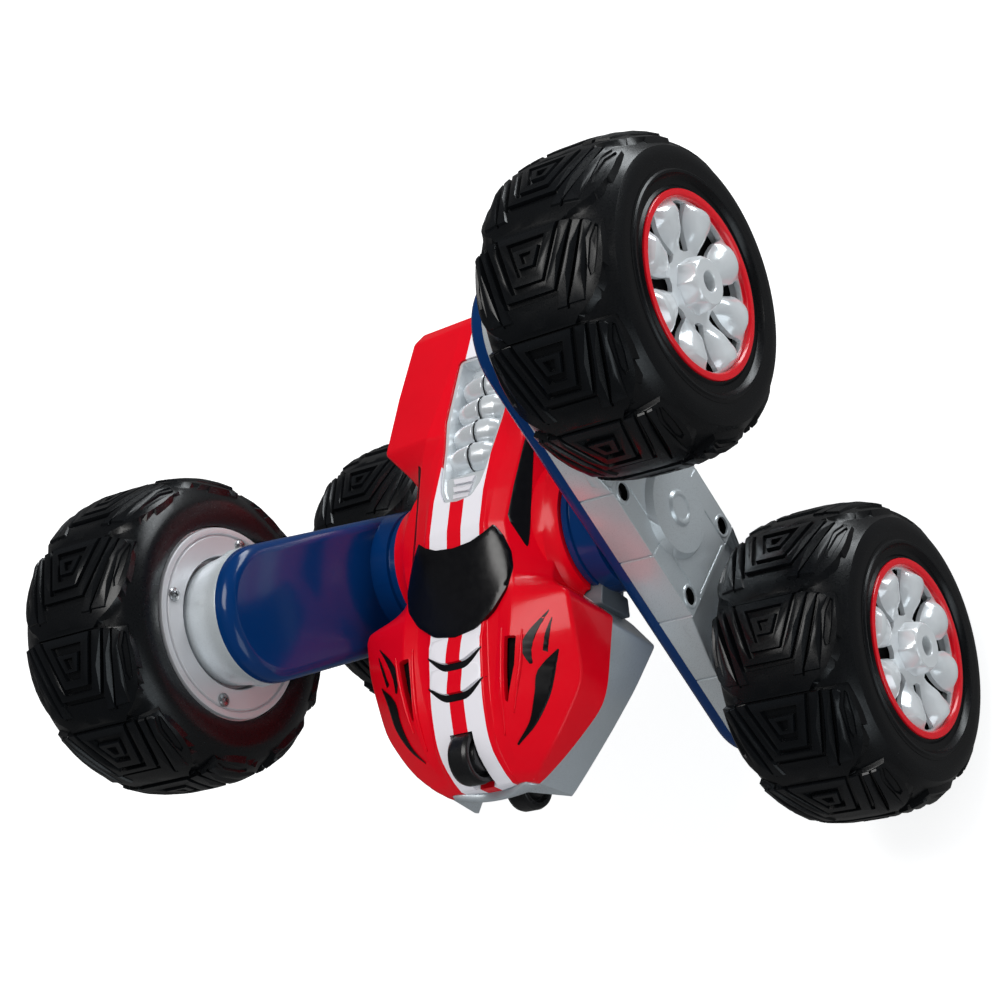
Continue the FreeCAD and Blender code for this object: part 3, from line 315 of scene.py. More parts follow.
def cut_sheet(points, edges, regions, base_level, within=None):
    """Triangulates points along the regions' outlines and gives each point its level."""
    flat, _, triangles, *_ = delaunay_2d_cdt(points, edges, [], 0, 1e-4)
    levels = []
    for x, y in flat:
        level = base_level(x, y)
        for _, core, value in regions:
            if value is not None and (inside(core, x, y) or gap_to(core, x, y) < ON_EDGE):
                level = value(x, y) if callable(value) else value
        levels.append(level)
    kept = []
    for triangle in triangles:
        x, y = sum((flat[i] for i in triangle), Vector((0, 0))) / len(triangle)
        if within and not inside(within, x, y):
            continue
        opening = False
        for outline, _, value in regions:
            if inside(outline, x, y):
                opening = value is None
        if not opening:
            kept.append(tuple(triangle))
    return [tuple(p) for p in flat], levels, kept


def relief_cell(width, span, regions, step, base_level):
    """Triangles of one cell that repeats every width along its first coordinate, with a level for each
    point. span is the (low, high) of the second coordinate; base_level is the ground's level."""
    low, high = -width / 2, width / 2
    spread = [([(x + shift, y) for x, y in outline], [(x + shift, y) for x, y in inner], level)
              for shift in (-width, 0.0, width) for outline, inner, level in regions]
    parts = [clip_span(a, b, low, high) for loop in loops_of(spread) for a, b in sides(loop)]
    parts = [part for part in parts if part and dist(*part) > 1e-6]
    crossings = {round(y, 4) for part in parts for x, y in part if x == low}
    rows = max(2, round((span[1] - span[0]) / step[1]))
    columns = max(2, round(width / step[0]))
    heights = [lerp(*span, k / rows) for k in range(rows + 1)]
    across = [lerp(low, high, k / columns) for k in range(columns + 1)]
    side_rows = sorted({y for y in heights if all(abs(y - c) > 0.35 for c in crossings)}
                       | crossings | set(span))
    points, index, edges = [], {}, []

    def point(x, y):
        if x in (low, high):
            y = min(side_rows, key=lambda row: abs(row - y))
        key = (round(x, 4), round(y, 4))
        if key not in index:
            index[key] = len(points)
            points.append(Vector((x, y)))
        return index[key]

    frame_lines = [[(x, y) for y in side_rows] for x in (low, high)]
    frame_lines += [[(x, y) for x in across] for y in span]
    for line in frame_lines + parts:
        ids = [point(x, y) for x, y in line]
        edges.extend((i, j) for i, j in zip(ids, ids[1:]) if i != j)
    near = [loop for outline, inner, _ in spread for loop in (outline, inner)]
    for y in heights[1:-1]:
        for x in across[1:-1]:
            if all(gap_to(loop, x, y) > min(step) * 0.2 for loop in near):
                point(x, y)
    return cut_sheet(points, edges, spread, base_level)


def relief_patch(outline, regions, step, base_level=lambda x, y: 0.0):
    """Like relief_cell, for one patch inside an outline."""
    points, edges = [], []
    loops = [outline] + loops_of(regions)
    for loop in loops:
        start = len(points)
        points.extend(Vector(p) for p in loop)
        edges.extend((start + i, start + (i + 1) % len(loop)) for i in range(len(loop)))
    (low_x, low_y), (high_x, high_y) = (tuple(map(pick, zip(*outline))) for pick in (min, max))
    columns, rows = (max(1, round((high - low) / step))
                     for low, high in ((low_x, high_x), (low_y, high_y)))
    for i in range(1, columns):
        for j in range(1, rows):
            x, y = lerp(low_x, high_x, i / columns), lerp(low_y, high_y, j / rows)
            if inside(outline, x, y) and all(gap_to(loop, x, y) > step * 0.3 for loop in loops):
                points.append(Vector((x, y)))
    return cut_sheet(points, edges, regions, base_level, outline)


def open_edges(faces):
    """Directed edges that only one face uses."""
    used = {(face[i - 1], face[i]): True for face in faces for i in range(len(face))}
    return [(a, b) for a, b in used if (b, a) not in used]


def thicken(mesh, behind):
    """Closes an open sheet with a copy of itself put through behind(), and walls between the two."""
    verts, faces = mesh
    count = len(verts)
    back_verts = [tuple(behind(Vector(v))) for v in verts]
    back_faces = [tuple(count + i for i in reversed(face)) for face in faces]
    walls = [(b, a, count + a, count + b) for a, b in open_edges(faces)]
    return list(verts) + back_verts, list(faces) + back_faces + walls


# ---------------------------------------------------------------- materials


def feed(tree, node, inputs):
    """Sets a node's inputs to values, or links them to other nodes' outputs."""
    for name, value in dict(inputs).items():
        if isinstance(value, bpy.types.NodeSocket):
            tree.links.new(value, node.inputs[name])
        else:
            node.inputs[name].default_value = value


def add_node(tree, kind, inputs=(), **settings):
    """A new shader node with its settings and inputs."""
    node = tree.nodes.new("ShaderNode" + kind)
    for name, value in settings.items():
        setattr(node, name, value)
    feed(tree, node, inputs)
    return node


def mixed(tree, factor, first, second, data_type="RGBA"):
    """The output of a node that mixes two colours or values."""
    inputs = {"Factor": factor, "A": first, "B": second}
    return add_node(tree, "Mix", inputs, data_type=data_type).outputs["Result"]


def rgba(colour, scale=1.0, shift=0.0):
    """A colour made lighter or darker, with its alpha."""
    return (*[min(c * scale + shift, 1) for c in colour], 1)


def node_material(slot, colour, roughness=0.35, metallic=0.0, coat=0.0, grain=600.0, grain_bump=0.02,
                  patch=60.0, patch_amount=0.06, flake=0.0, edge_sheen=0.0, sheen_tint=None, specular=0.5,
                  soft_edge=0.0):
    """A painted or moulded finish: colour drift in patches, fine grain in its roughness and surface,
    optional metal flake, and convex edges painted lighter as a highlight."""
    material = bpy.data.materials.new(slot)
    material["slot"] = slot
    material.use_nodes = True
    tree = material.node_tree
    place = add_node(tree, "TexCoord").outputs["Object"]

    def noise(scale, detail=2.0):
        inputs = {"Scale": scale, "Detail": detail, "Vector": place}
        return add_node(tree, "TexNoise", inputs).outputs["Fac"]

    def mapped(source, low, high, source_low=0.3, source_high=0.7):
        inputs = {"Value": source, "From Min": source_low, "From Max": source_high,
                  "To Min": low, "To Max": high}
        return add_node(tree, "MapRange", inputs).outputs["Result"]

    paint = mixed(tree, noise(patch), rgba(colour, 1 - patch_amount), rgba(colour, 1 + patch_amount))
    if flake:
        paint = mixed(tree, mapped(noise(4000, 0), 0.0, flake), paint, rgba(colour, 1.5))
    # painted highlight: convex edges are lightened towards a paler colour
    if edge_sheen:
        pointed = add_node(tree, "NewGeometry").outputs["Pointiness"]
        sheen_colour = rgba(sheen_tint) if sheen_tint else rgba(colour, 1.6, 0.02)
        paint = mixed(tree, mapped(pointed, 0.0, edge_sheen, 0.52, 0.62), paint, sheen_colour)
    surface = {"Strength": grain_bump * 5, "Distance": 0.0002, "Height": noise(grain, 3.0)}
    if soft_edge:
        bevel = add_node(tree, "Bevel", {"Radius": soft_edge * MM}, samples=4)
        surface["Normal"] = bevel.outputs["Normal"]
    feed(tree, tree.nodes["Principled BSDF"], {
        "Base Color": paint, "Metallic": metallic, "Coat Weight": coat, "Coat Roughness": 0.08,
        "Roughness": mapped(noise(grain), roughness * 0.88, roughness * 1.12),
        "Specular IOR Level": specular, "Normal": add_node(tree, "Bump", surface).outputs["Normal"]})
    return material


STEEL = {"metallic": 1.0, "grain": 2500, "grain_bump": 0.05}
FLAKED = {"grain": 5000, "flake": 0.03}
# the tyre's lighter bluish edges are a painted highlight
RUBBER = node_material("tyre_rubber", (0.003, 0.0036, 0.0046), 0.30, grain=1500, grain_bump=0.006,
                       patch=40, patch_amount=0.25, edge_sheen=0.3, sheen_tint=(0.014, 0.017, 0.021),
                       specular=0.42)
RIM_SILVER = node_material("rim_silver", (0.88, 0.91, 0.93), 0.22, metallic=0.3, coat=0.3,
                           grain_bump=0.004, patch_amount=0.02, **FLAKED)
RING_RED = node_material("ring_red", (0.80, 0.003, 0.014), 0.22, coat=0.4, grain=900)
DISC_SILVER = node_material("disc_silver", (0.64, 0.63, 0.65), 0.38, metallic=0.35, grain_bump=0.006,
                            **FLAKED)
SCREW = node_material("screw_steel", (0.45, 0.45, 0.46), 0.28, **STEEL)
ARM_SILVER = node_material("arm_silver", (0.76, 0.81, 0.84), 0.30, metallic=0.5, grain_bump=0.008,
                           patch_amount=0.03, soft_edge=0.5, **FLAKED)
BODY_RED = node_material("body_red", (0.82, 0.001, 0.012), 0.24, coat=0.12, grain=500,
                         grain_bump=0.003, specular=0.22)
SHELL_SILVER = node_material("shell_silver", (0.57, 0.62, 0.66), 0.30, metallic=0.45, grain_bump=0.008,
                             patch_amount=0.03, **FLAKED)
SCREEN = node_material("screen_black", (0.003, 0.003, 0.004), 0.24, grain=400, grain_bump=0.002)
PANEL = node_material("panel_black", (0.004, 0.004, 0.005), 0.32, grain=500, grain_bump=0.004,
                      specular=0.25)
ENGINE = node_material("engine_silver", (0.80, 0.84, 0.87), 0.25, metallic=0.4, grain_bump=0.004,
                       **FLAKED)
# the roller's lighter edges are a painted highlight
ROLLER = node_material("roller_black", (0.010, 0.010, 0.011), 0.30, grain=900, grain_bump=0.03, edge_sheen=0.3)
for slot, colour, roughness, look in (
        ("axle_steel", (0.5, 0.5, 0.5), 0.25, STEEL),
        ("gear_nylon", (0.75, 0.73, 0.66), 0.45, {"grain": 800}),
        ("arm_blue", (0.0008, 0.030, 0.135), 0.18,
         {"coat": 0.1, "grain": 500, "grain_bump": 0.006, "patch_amount": 0.05, "specular": 0.38}),
        ("motor_steel", (0.42, 0.42, 0.43), 0.3, {"metallic": 1.0, "grain": 1500}),
        ("battery_wrap", (0.02, 0.09, 0.04), 0.35, {"grain": 300, "grain_bump": 0.1}),
        ("door_silver", (0.42, 0.44, 0.47), 0.42, {"metallic": 0.4, "grain": 1800, "flake": 0.3}),
        ("board_green", (0.01, 0.10, 0.03), 0.4, {"grain": 700, "patch": 400, "patch_amount": 0.3}),
        ("switch_black", (0.012, 0.012, 0.012), 0.4, {"grain": 900, "grain_bump": 0.05})):
    node_material(slot, colour, roughness, **look)

# the finishes below share a slot with one above, and are only for the pieces drawn here
SLOT_FINISH = {material["slot"]: material for material in bpy.data.materials if material.get("slot")}
# a darker copy of the screw steel for screws at the bottom of the cover's holes: painted shade
SHADED_SCREW_STEEL = node_material("screw_steel", (0.16, 0.16, 0.17), 0.35, metallic=0.8, grain=2500,
                           grain_bump=0.05)
# black for sheets that stand in for shade: behind the wheels' petal slots, in the cover's screw holes
# and under the hood slots
SHADE_BLACK = node_material("panel_black", (0.003, 0.003, 0.003), 0.8, grain=500, specular=0.1)
# silver darkened as painted shade, for the block under the fender's back edge
SHADED_SILVER = node_material("shell_silver", (0.15, 0.17, 0.19), 0.35, metallic=0.3, grain=2500)

for part in frame["record"]["subparts"]:
    node = frame["nodes"][part["node"]]
    node.data.materials.clear()
    node.data.materials.append(SLOT_FINISH[part["material_slot"]])


# ---------------------------------------------------------------- places


def at_wheel(corner):
    """Puts a piece drawn round the X axis on a corner's wheel, mirrored on the right side."""
    place = WHEEL_AT[corner]
    mirror = 1.0 if corner.startswith("left") else -1.0
    return lambda v: Vector((v.x * mirror, v.y + place.y, v.z + place.z))


def on_arm(side):
    """Puts a piece drawn on a level arm in its place."""
    mirror = 1.0 if side == "left" else -1.0
    turn = Matrix.Rotation(ARM_TILT[side], 3, "X")
    return lambda v: turn @ Vector((v.x * mirror, v.y, v.z))


def wheel_piece(corner, name, mesh, finish, stands_for=(), **options):
    stands = [f"{corner}_{node}" for node in stands_for]
    add_piece(f"{corner}_{name}", moved(mesh, at_wheel(corner)), finish, stands,
                f"{corner}_wheel", **options)


def arm_piece(side, name, mesh, finish, stands_for=(), **options):
    stands = [f"{side}_{node}" for node in stands_for]
    return add_piece(f"{side}_{name}", moved(mesh, on_arm(side)), finish, stands,
                       f"{side}_arm", **options)


# ---------------------------------------------------------------- tyres

TREAD_BLOCKS = 10
TREAD_PITCH = 360 / TREAD_BLOCKS
TREAD_MIDDLE = 33.3          # arc length from the inner shoulder to the crown
BEAD = 9.94                  # arc length from the profile's start to the tread
TREAD_STEP = 3.0             # degrees between the ground's points
TYRE_PROFILE = ((73.6, 36.2), (72.3, 40.0), (72.0, 46.0), (73.0, 50.0), (76.0, 53.5), (82.0, 56.0),
                (92.0, 57.4), (100.0, 57.5), (108.0, 57.4), (118.0, 56.0), (125.0, 53.0), (129.0, 49.5),
                (130.0, 45.0), (129.4, 40.6))
# the bead ridge, the seat on the rim and the inner face close the tyre
TYRE_SEAT = ((129.4, 39.6), (129.9, 39.0), (129.8, 38.2), (128.6, 37.6), (127.9, 36.8), (127.8, 34.4),
             (128.5, 33.5), (128.5, 33.05), (126.6, 33.05), (126.6, 36.1), (75.0, 36.1))
RIB, GROUND, GROOVE, POCKET, VALLEY = 0.0, -0.7, -1.5, -1.5, -2.2
TREAD_PHASE = {"left_front": 95.2, "left_rear": 98.8, "right_front": 118.8, "right_rear": 104.0}


def both_shoulders(half):
    """Closes a half outline across the crown; half runs from the leading side to the trailing side."""
    return list(half) + flipped(reversed(half))


def flipped(outline):
    return [(u, 2 * TREAD_MIDDLE - s) for u, s in outline]


def tread_regions():
    """One tread block: u in degrees round the tyre, s in millimetres across it."""
    foot = both_shoulders([(-10.6, 47.0), (-9.7, 52.0), (-9.4, 61.2), (-3.0, 62.6), (3.5, 63.2),
                           (9.5, 62.6), (15.5, 60.6), (20.2, 57.4), (23.2, 53.8), (24.8, 50.0),
                           (25.6, 47.6), (29.0, 45.0)])
    top = both_shoulders([(-10.2, 46.8), (-9.2, 52.0), (-8.7, 60.2), (-3.0, 60.4), (2.5, 60.7),
                          (7.5, 60.2), (12.0, 59.0), (15.8, 57.2), (19.0, 54.8), (21.6, 51.8),
                          (23.4, 48.8), (28.5, 44.5)])
    pocket = [(-7.0, 58.6), (-1.2, 56.6), (8.5, 55.2), (12.0, 55.6), (11.0, 57.4), (4.0, 59.0),
              (-6.0, 59.6)]
    bars = both_shoulders([(-9.4, 46.0), (-9.0, 51.0), (-8.2, 56.6), (-7.0, 57.7), (-1.6, 55.5),
                           (19.4, 52.7), (19.4, 46.7), (19.9, 46.2), (19.9, 42.1), (14.6, 43.8)])
    groove_four = [(-8.8, 54.9), (-8.8, 53.9), (20.6, 45.7), (20.6, 46.6)]
    areas = [region(foot, GROUND, inner=top), region(pocket, POCKET, 0.5),
             region(flipped(pocket), POCKET, 0.5), region(bars, RIB, 0.4),
             region(groove_four, GROOVE, 0.25), region(flipped(groove_four), GROOVE, 0.25)]
    # nested rings from the outermost groove to the pit in the middle
    for number, half in enumerate((((-10.1, 51.8), (15.4, 43.6)), ((-9.6, 50.5), (13.6, 43.0)),
                                   ((-10.1, 46.8), (11.2, 39.9)), ((-9.6, 45.3), (9.2, 39.2)),
                                   ((-6.3, 40.9), (6.2, 36.8)), ((-3.3, 38.7), (3.6, 36.3)),
                                   ((-1.6, 35.6), (2.2, 34.4)))):
        areas.append(region(both_shoulders(half), RIB if number % 2 else GROOVE))
    return areas


def arc_lookup(profile):
    """Arc length along a profile, and a function giving the point and outward normal at a length."""
    lengths = [0.0]
    for a, b in zip(profile, profile[1:]):
        lengths.append(lengths[-1] + dist(a, b))

    def at(length):
        k = 0
        while k < len(lengths) - 2 and lengths[k + 1] < length:
            k += 1
        t = (length - lengths[k]) / (lengths[k + 1] - lengths[k])
        here = [lerp(a, b, t) for a, b in zip(profile[k], profile[k + 1])]
        ahead = profile[min(k + 2, len(profile) - 1)]
        behind = profile[max(k - 1, 0)]
        along = Vector((ahead[0] - behind[0], ahead[1] - behind[1])).normalized()
        return here, (-along.y, along.x)

    return lengths[-1], at


def tyre_mesh(phase):
    total, at = arc_lookup(spline(TYRE_PROFILE, 8))

    def base_level(u, s):
        off = abs(s - TREAD_MIDDLE)
        return lerp(GROUND, VALLEY, 1 - smoothstep(29.5, 35.0, off)) * (1 - smoothstep(36.0, 42.0, off))

    flat, levels, triangles = relief_cell(TREAD_PITCH, (-BEAD, total - BEAD), tread_regions(),
                                          (TREAD_STEP, 2.6), base_level)
    block = []
    for (u, s), level in zip(flat, levels):
        (x, radius), (nx, nr) = at(s + BEAD)
        radius += nr * level
        block.append((x + nx * level, radius * cos(radians(u)), radius * sin(radians(u))))
    tread = [moved((block, triangles), turned(phase + k * TREAD_PITCH)) for k in range(TREAD_BLOCKS)]
    segments = round(TREAD_PITCH / TREAD_STEP) * TREAD_BLOCKS
    closing = lathe([TYRE_PROFILE[-1], *TYRE_SEAT, TYRE_PROFILE[0]], segments, closed=False)
    return add(*tread, moved(closing, turned(phase - TREAD_PITCH / 2)))


for corner in CORNERS:
    wheel_piece(corner, "tread_tyre", tyre_mesh(TREAD_PHASE[corner]), RUBBER, ["tyre"],
                sharp=28, weld=0.02)


# ---------------------------------------------------------------- rims

PETALS = 8
PETAL_PITCH = 360 / PETALS
RIM_SEGMENTS = 15 * PETALS
WEB_INNER, WEB_OUTER = 9.0, 30.6
WEB_THICK = 1.8
SCREW_CIRCLE = 30.0


def web_dish(radius):
    """How far out the web lies at a radius, without the petals' crowns."""
    return 125.2 + 0.8 * (1 - smoothstep(9.0, 13.5, radius)) + 1.6 * smoothstep(19.0, 29.5, radius)


def slot_half(radius):
    """Half the width of the gap between two petals, in millimetres."""
    return 2.0 + 0.5 * (1 - smoothstep(14.0, 19.0, radius)) + 1.6 * smoothstep(24.5, 28.4, radius)


def petal_crown(u, radius):
    half = radians(PETAL_PITCH / 2) * radius - slot_half(radius)
    t = min(abs(radians(u)) * radius / max(half, 0.5), 1.0)
    along = smoothstep(12.5, 20.5, radius) * (1 - smoothstep(26.5, 30.4, radius))
    return 4.0 * (1 - t ** 2.6) * along


def web_mesh():
    half = PETAL_PITCH / 2
    side = [(half + 2.6, 12.3)]
    side += [(half + degrees(slot_half(radius) / radius), radius)
             for radius in (13.0, 15.0, 18.0, 21.0, 24.0, 25.6, 27.0, 28.2)]
    side += [(half + 7.2, 29.1), (half + 3.0, 29.4)]
    outline = side + [(PETAL_PITCH - u, radius) for u, radius in reversed(side)]
    flat, _, triangles = relief_cell(PETAL_PITCH, (WEB_INNER, WEB_OUTER), [region(outline, None)],
                                     (3.0, 1.5), lambda u, r: 0.0)
    petal = []
    for u, radius in flat:
        folded = (u + half) % PETAL_PITCH - half
        x = web_dish(radius) + petal_crown(folded, radius)
        petal.append((x, radius * cos(radians(u)), radius * sin(radians(u))))
    faces = [tuple(reversed(face)) for face in triangles]
    verts, faces = add(*(moved((petal, faces), turned(k * PETAL_PITCH)) for k in range(PETALS)))
    work = bmesh.new()
    for v in verts:
        work.verts.new(v)
    work.verts.ensure_lookup_table()
    for face in faces:
        work.faces.new([work.verts[i] for i in face])
    bmesh.ops.remove_doubles(work, verts=work.verts, dist=0.01)
    work.verts.index_update()
    sheet = [tuple(v.co) for v in work.verts], [tuple(v.index for v in f.verts) for f in work.faces]
    work.free()
    return thicken(sheet, lambda v: v - Vector((WEB_THICK, 0, 0)))


def hub_shape(x, angle):
    """The hub is eight-sided at its foot and round at its face."""
    flat_share = 1 - smoothstep(130.8, 132.4, x) if x > 122 else 0.0
    wedge = (angle + pi / PETALS) % (2 * pi / PETALS) - pi / PETALS
    return lerp(1.0, cos(pi / PETALS) / cos(wedge) * 1.04, flat_share)


def rim_mesh():
    """The petals, the barrel with its lip, the hollow hub and four screw posts."""
    barrel = rounded([(74.8, 33.0), (74.8, 35.95), (126.5, 35.95), (126.5, 33.0), (125.2, 33.0),
                      (124.9, 30.2), (119.8, 30.2), (118.0, 33.0)], 0.4, 2, closed=True)
    hub_out = [(120.4, 8.8), (124.4, 10.6), (125.2, 9.7), (131.0, 8.9), (132.3, 8.3), (132.7, 7.8)]
    hub_in = [(132.7, 3.9), (132.4, 3.55), (127.1, 3.5), (127.1, 3.1), (108.0, 3.1), (108.0, 6.5),
              (120.0, 7.0)]
    post = moved(lathe([(74.9, 1.3), (74.9, 3.4), (84.0, 3.2), (84.0, 1.3)], 16),
                 lambda v: v + Vector((0, SCREW_CIRCLE, 0)))
    return add(web_mesh(), lathe(barrel, RIM_SEGMENTS),
               lathe(hub_out, RIM_SEGMENTS, closed=False, shape=hub_shape),
               lathe([hub_out[-1]] + hub_in, RIM_SEGMENTS, closed=False),
               lathe([hub_in[-1], hub_out[0]], RIM_SEGMENTS, closed=False),
               *(moved(post, turned(quarter * 90)) for quarter in range(4)))


RING_PROFILE = rounded([(124.0, 31.2), (124.0, 32.9), (129.2, 32.9), (129.2, 30.7), (128.4, 30.0),
                        (126.8, 30.0)], 0.45, 3, closed=True)
DISC_PROFILE = [(72.9, 24.7), (72.7, 25.0), (72.7, 31.9), (73.0, 32.2), (73.6, 32.35), (73.6, 32.75),
                (73.0, 32.9), (72.7, 33.2), (72.7, 34.7), (73.0, 35.3), (74.7, 35.4), (74.7, 27.0),
                (79.0, 27.0), (79.0, 3.1), (77.0, 3.1), (77.0, 23.8), (76.6, 24.3)]


def cross_screw(radius, height, shank):
    """A pan-head screw with a cross recess, head towards +X and its seat at x = 0."""
    lines = (-1.0, -0.86, -0.68, -0.52, -0.46, -0.15, -0.10, 0.10, 0.15, 0.46, 0.52, 0.68, 0.86, 1.0)
    verts, faces = [], []
    for a in lines:
        for b in lines:
            y, z = a * sqrt(1 - b * b / 2), b * sqrt(1 - a * a / 2)
            dome = height * (1 - 0.45 * (y * y + z * z) ** 1.5)
            cut = (abs(a) <= 0.12 and abs(b) <= 0.48) or (abs(b) <= 0.12 and abs(a) <= 0.48)
            verts.append((dome - (0.55 * height if cut else 0.0), y * radius, z * radius))
    count = len(lines)
    for i in range(count - 1):
        for j in range(count - 1):
            here = i * count + j
            faces.append((here, here + count, here + count + 1, here + 1))
    head = thicken((verts, faces), lambda v: Vector((0.0, v.y, v.z)))
    return add(head, lathe([(0.2, 0.0), (0.2, shank), (-6.0, shank), (-7.0, 0.2)], 16))


def screws_at(places, seat, facing, radius, height, shank):
    """Screws with their seats at x = seat, at (y, z) places, each turned a little differently."""
    screw = moved(cross_screw(radius, height, shank), lambda v: Vector((v.x * facing, v.y, v.z)))
    return add(*(moved(screw, lambda v: Matrix.Rotation(0.4 + 1.1 * k, 3, "X") @ v
                       + Vector((seat, y, z))) for k, (y, z) in enumerate(places)))


for corner in CORNERS:
    wheel_piece(corner, "petal_rim", rim_mesh(), RIM_SILVER, ["rim"], sharp=30, weld=0.01)
    wheel_piece(corner, "red_ring", lathe(RING_PROFILE, RIM_SEGMENTS), RING_RED, ["rim_ring"])
    # black discs behind the petal slots and inside the hub bore: painted shade for the dark inside of
    # the wheel
    shade_discs = add(lathe([(121.4, 7.4), (121.4, 30.0), (122.4, 30.0), (122.4, 7.4)], 64),
                  lathe([(128.2, 0.1), (128.2, 3.45), (128.6, 3.45), (128.6, 0.1)], 24))
    wheel_piece(corner, "rim_shade_discs", shade_discs, SHADE_BLACK)
    wheel_piece(corner, "dished_disc", lathe(DISC_PROFILE, RIM_SEGMENTS), DISC_SILVER, ["inner_disc"])
    screws = screws_at(circle_points(0, 0, SCREW_CIRCLE, 4), 72.7, -1, 2.5, 1.3, 1.1)
    wheel_piece(corner, "cross_screws", screws, SCREW, ["disc_screws"])


# ---------------------------------------------------------------- arms

ARM_RADIUS = 25.35
ARM_SEAM = 56.7
LOW_FACE, HIGH_FACE = 66.0, 71.0
PLATEAU, PLATEAU_SLOPE = 30.0, 3.5
BOSS_TOP, BOSS_FACE = 23.0, 74.5
PANEL_LINES = (-57.5, -29.2, -0.6, 28.0, 57.5)
COVER_SCREWS = [(a * 24.5, b * 20.0) for a in (-1, 1) for b in (-1, 1)]
STRIP_LINE = 15.6


def arm_outline():
    """The outer half's face: straight sides notched at the panel lines, round ends."""
    side = [(-WHEEL_OFFSET, ARM_RADIUS)]
    for line in PANEL_LINES:
        for shift, deep in ((-0.45, 0.0), (-0.2, 0.45), (0.2, 0.45), (0.45, 0.0)):
            side.append((line + shift, ARM_RADIUS - deep))
    side.append((WHEEL_OFFSET, ARM_RADIUS))
    right_end, left_end = (circle_points(sign * WHEEL_OFFSET, 0, BOSS_TOP, 40, sign * pi / 2, -pi)
                           for sign in (1, -1))
    return side + right_end + [(y, -z) for y, z in reversed(side)] + left_end


def arm_top(y, z):
    """How far out the arm's face lies, without its bosses and grooves."""
    return lerp(HIGH_FACE, LOW_FACE, min(max((abs(y) - PLATEAU) / PLATEAU_SLOPE, 0.0), 1.0))


def arm_regions():
    """Raised and sunk areas of the arm's face."""
    def sunk(y, z):
        return arm_top(y, z) - 0.45

    def round_area(y, z, radius, core, count, level):
        return circle_points(y, z, radius, count), circle_points(y, z, core, count), level

    areas = []
    edge, rim = PLATEAU - 0.4, ARM_RADIUS - 0.6
    for sign in (-1, 1):
        line = sign * STRIP_LINE
        # the bands where the plateau folds down to the low face
        fold = rectangle(sign * PLATEAU, sign * (PLATEAU + PLATEAU_SLOPE), -rim, rim)
        areas.append((fold, fold, arm_top))
        for groove, wall in ((rectangle(-edge, edge, line - 0.35, line + 0.35), 0.18),
                             (rectangle(-0.95, -0.25, line + sign * 0.4, sign * (rim + 0.1)), 0.18),
                             (rectangle(sign * (edge - 1.6), sign * (edge - 1.1), -14.0, 14.0), 0.15)):
            areas.append(region(groove, sunk, wall))
    areas += [round_area(0, 0, 18.2, 16.6, 64, 73.5), round_area(0, 0, 6.9, 5.9, 40, BOSS_FACE),
              round_area(0, 0, 5.0, 4.2, 40, BOSS_FACE - 0.5)]
    for y, z in COVER_SCREWS:
        areas += [round_area(y, z, 4.6, 4.2, 32, HIGH_FACE + 0.35),
                  round_area(y, z, 3.35, 3.2, 28, HIGH_FACE - 2.8)]
    for sign in (-1, 1):
        wheel = sign * WHEEL_OFFSET
        crescent = circle_points(wheel, 0, 24.15, 48, sign * pi / 2, sign * pi)
        crescent += circle_points(wheel, 0, BOSS_TOP, 40, sign * 3 * pi / 2, -sign * pi)
        areas.append((crescent, circle_points(wheel, 0, BOSS_TOP, 78), BOSS_FACE))
    return areas


def outer_shell_mesh():
    flat, levels, faces = relief_patch(arm_outline(), arm_regions(), 5.0, arm_top)
    face_side, seam_side = [], []
    for (y, z), level in zip(flat, levels):
        past_end = abs(y) - WHEEL_OFFSET
        reach = hypot(past_end, z)
        if past_end > -0.01 and reach < BOSS_TOP + 0.05:
            level = BOSS_FACE
        face_side.append((level, y, z))
        if past_end > 0:
            grow = ARM_RADIUS / max(reach, 1e-6)
            y, z = copysign(WHEEL_OFFSET + past_end * grow, y), z * grow
        elif past_end > -0.01 and abs(z) < ARM_RADIUS:
            z = copysign(ARM_RADIUS, z)
        seam_side.append((ARM_SEAM, y, z))
    start = len(flat)
    walls = [(b, a, start + a, start + b) for a, b in open_edges(faces)]
    return face_side + seam_side, faces + walls


for side in SIDES:
    shell = arm_piece(side, "arm_silver_cover", outer_shell_mesh(), ARM_SILVER, ["arm_outer_shell"],
                      sharp=24)
    wall = shell.modifiers.new("wall", "SOLIDIFY")
    wall.thickness = 1.6 * MM
    wall.offset = -1
    soften(shell, 0.25, 50)
    screws = screws_at(COVER_SCREWS, HIGH_FACE - 2.9, 1, 2.4, 0.9, 1.2)
    arm_piece(side, "cover_cross_screws", screws, SHADED_SCREW_STEEL, ["cover_screws"])
    # black cups in the cover's screw holes: painted shade inside the holes
    shade_cup = lathe([(68.3, 0.1), (68.3, 3.05), (70.6, 3.1), (70.6, 3.25), (68.1, 3.2), (68.1, 0.1)], 28)
    shade_cups = [moved(shade_cup, lambda v: v + Vector((0, y, z))) for y, z in COVER_SCREWS]
    arm_piece(side, "screw_well_shade", add(*shade_cups), SHADE_BLACK)


# ---------------------------------------------------------------- body form

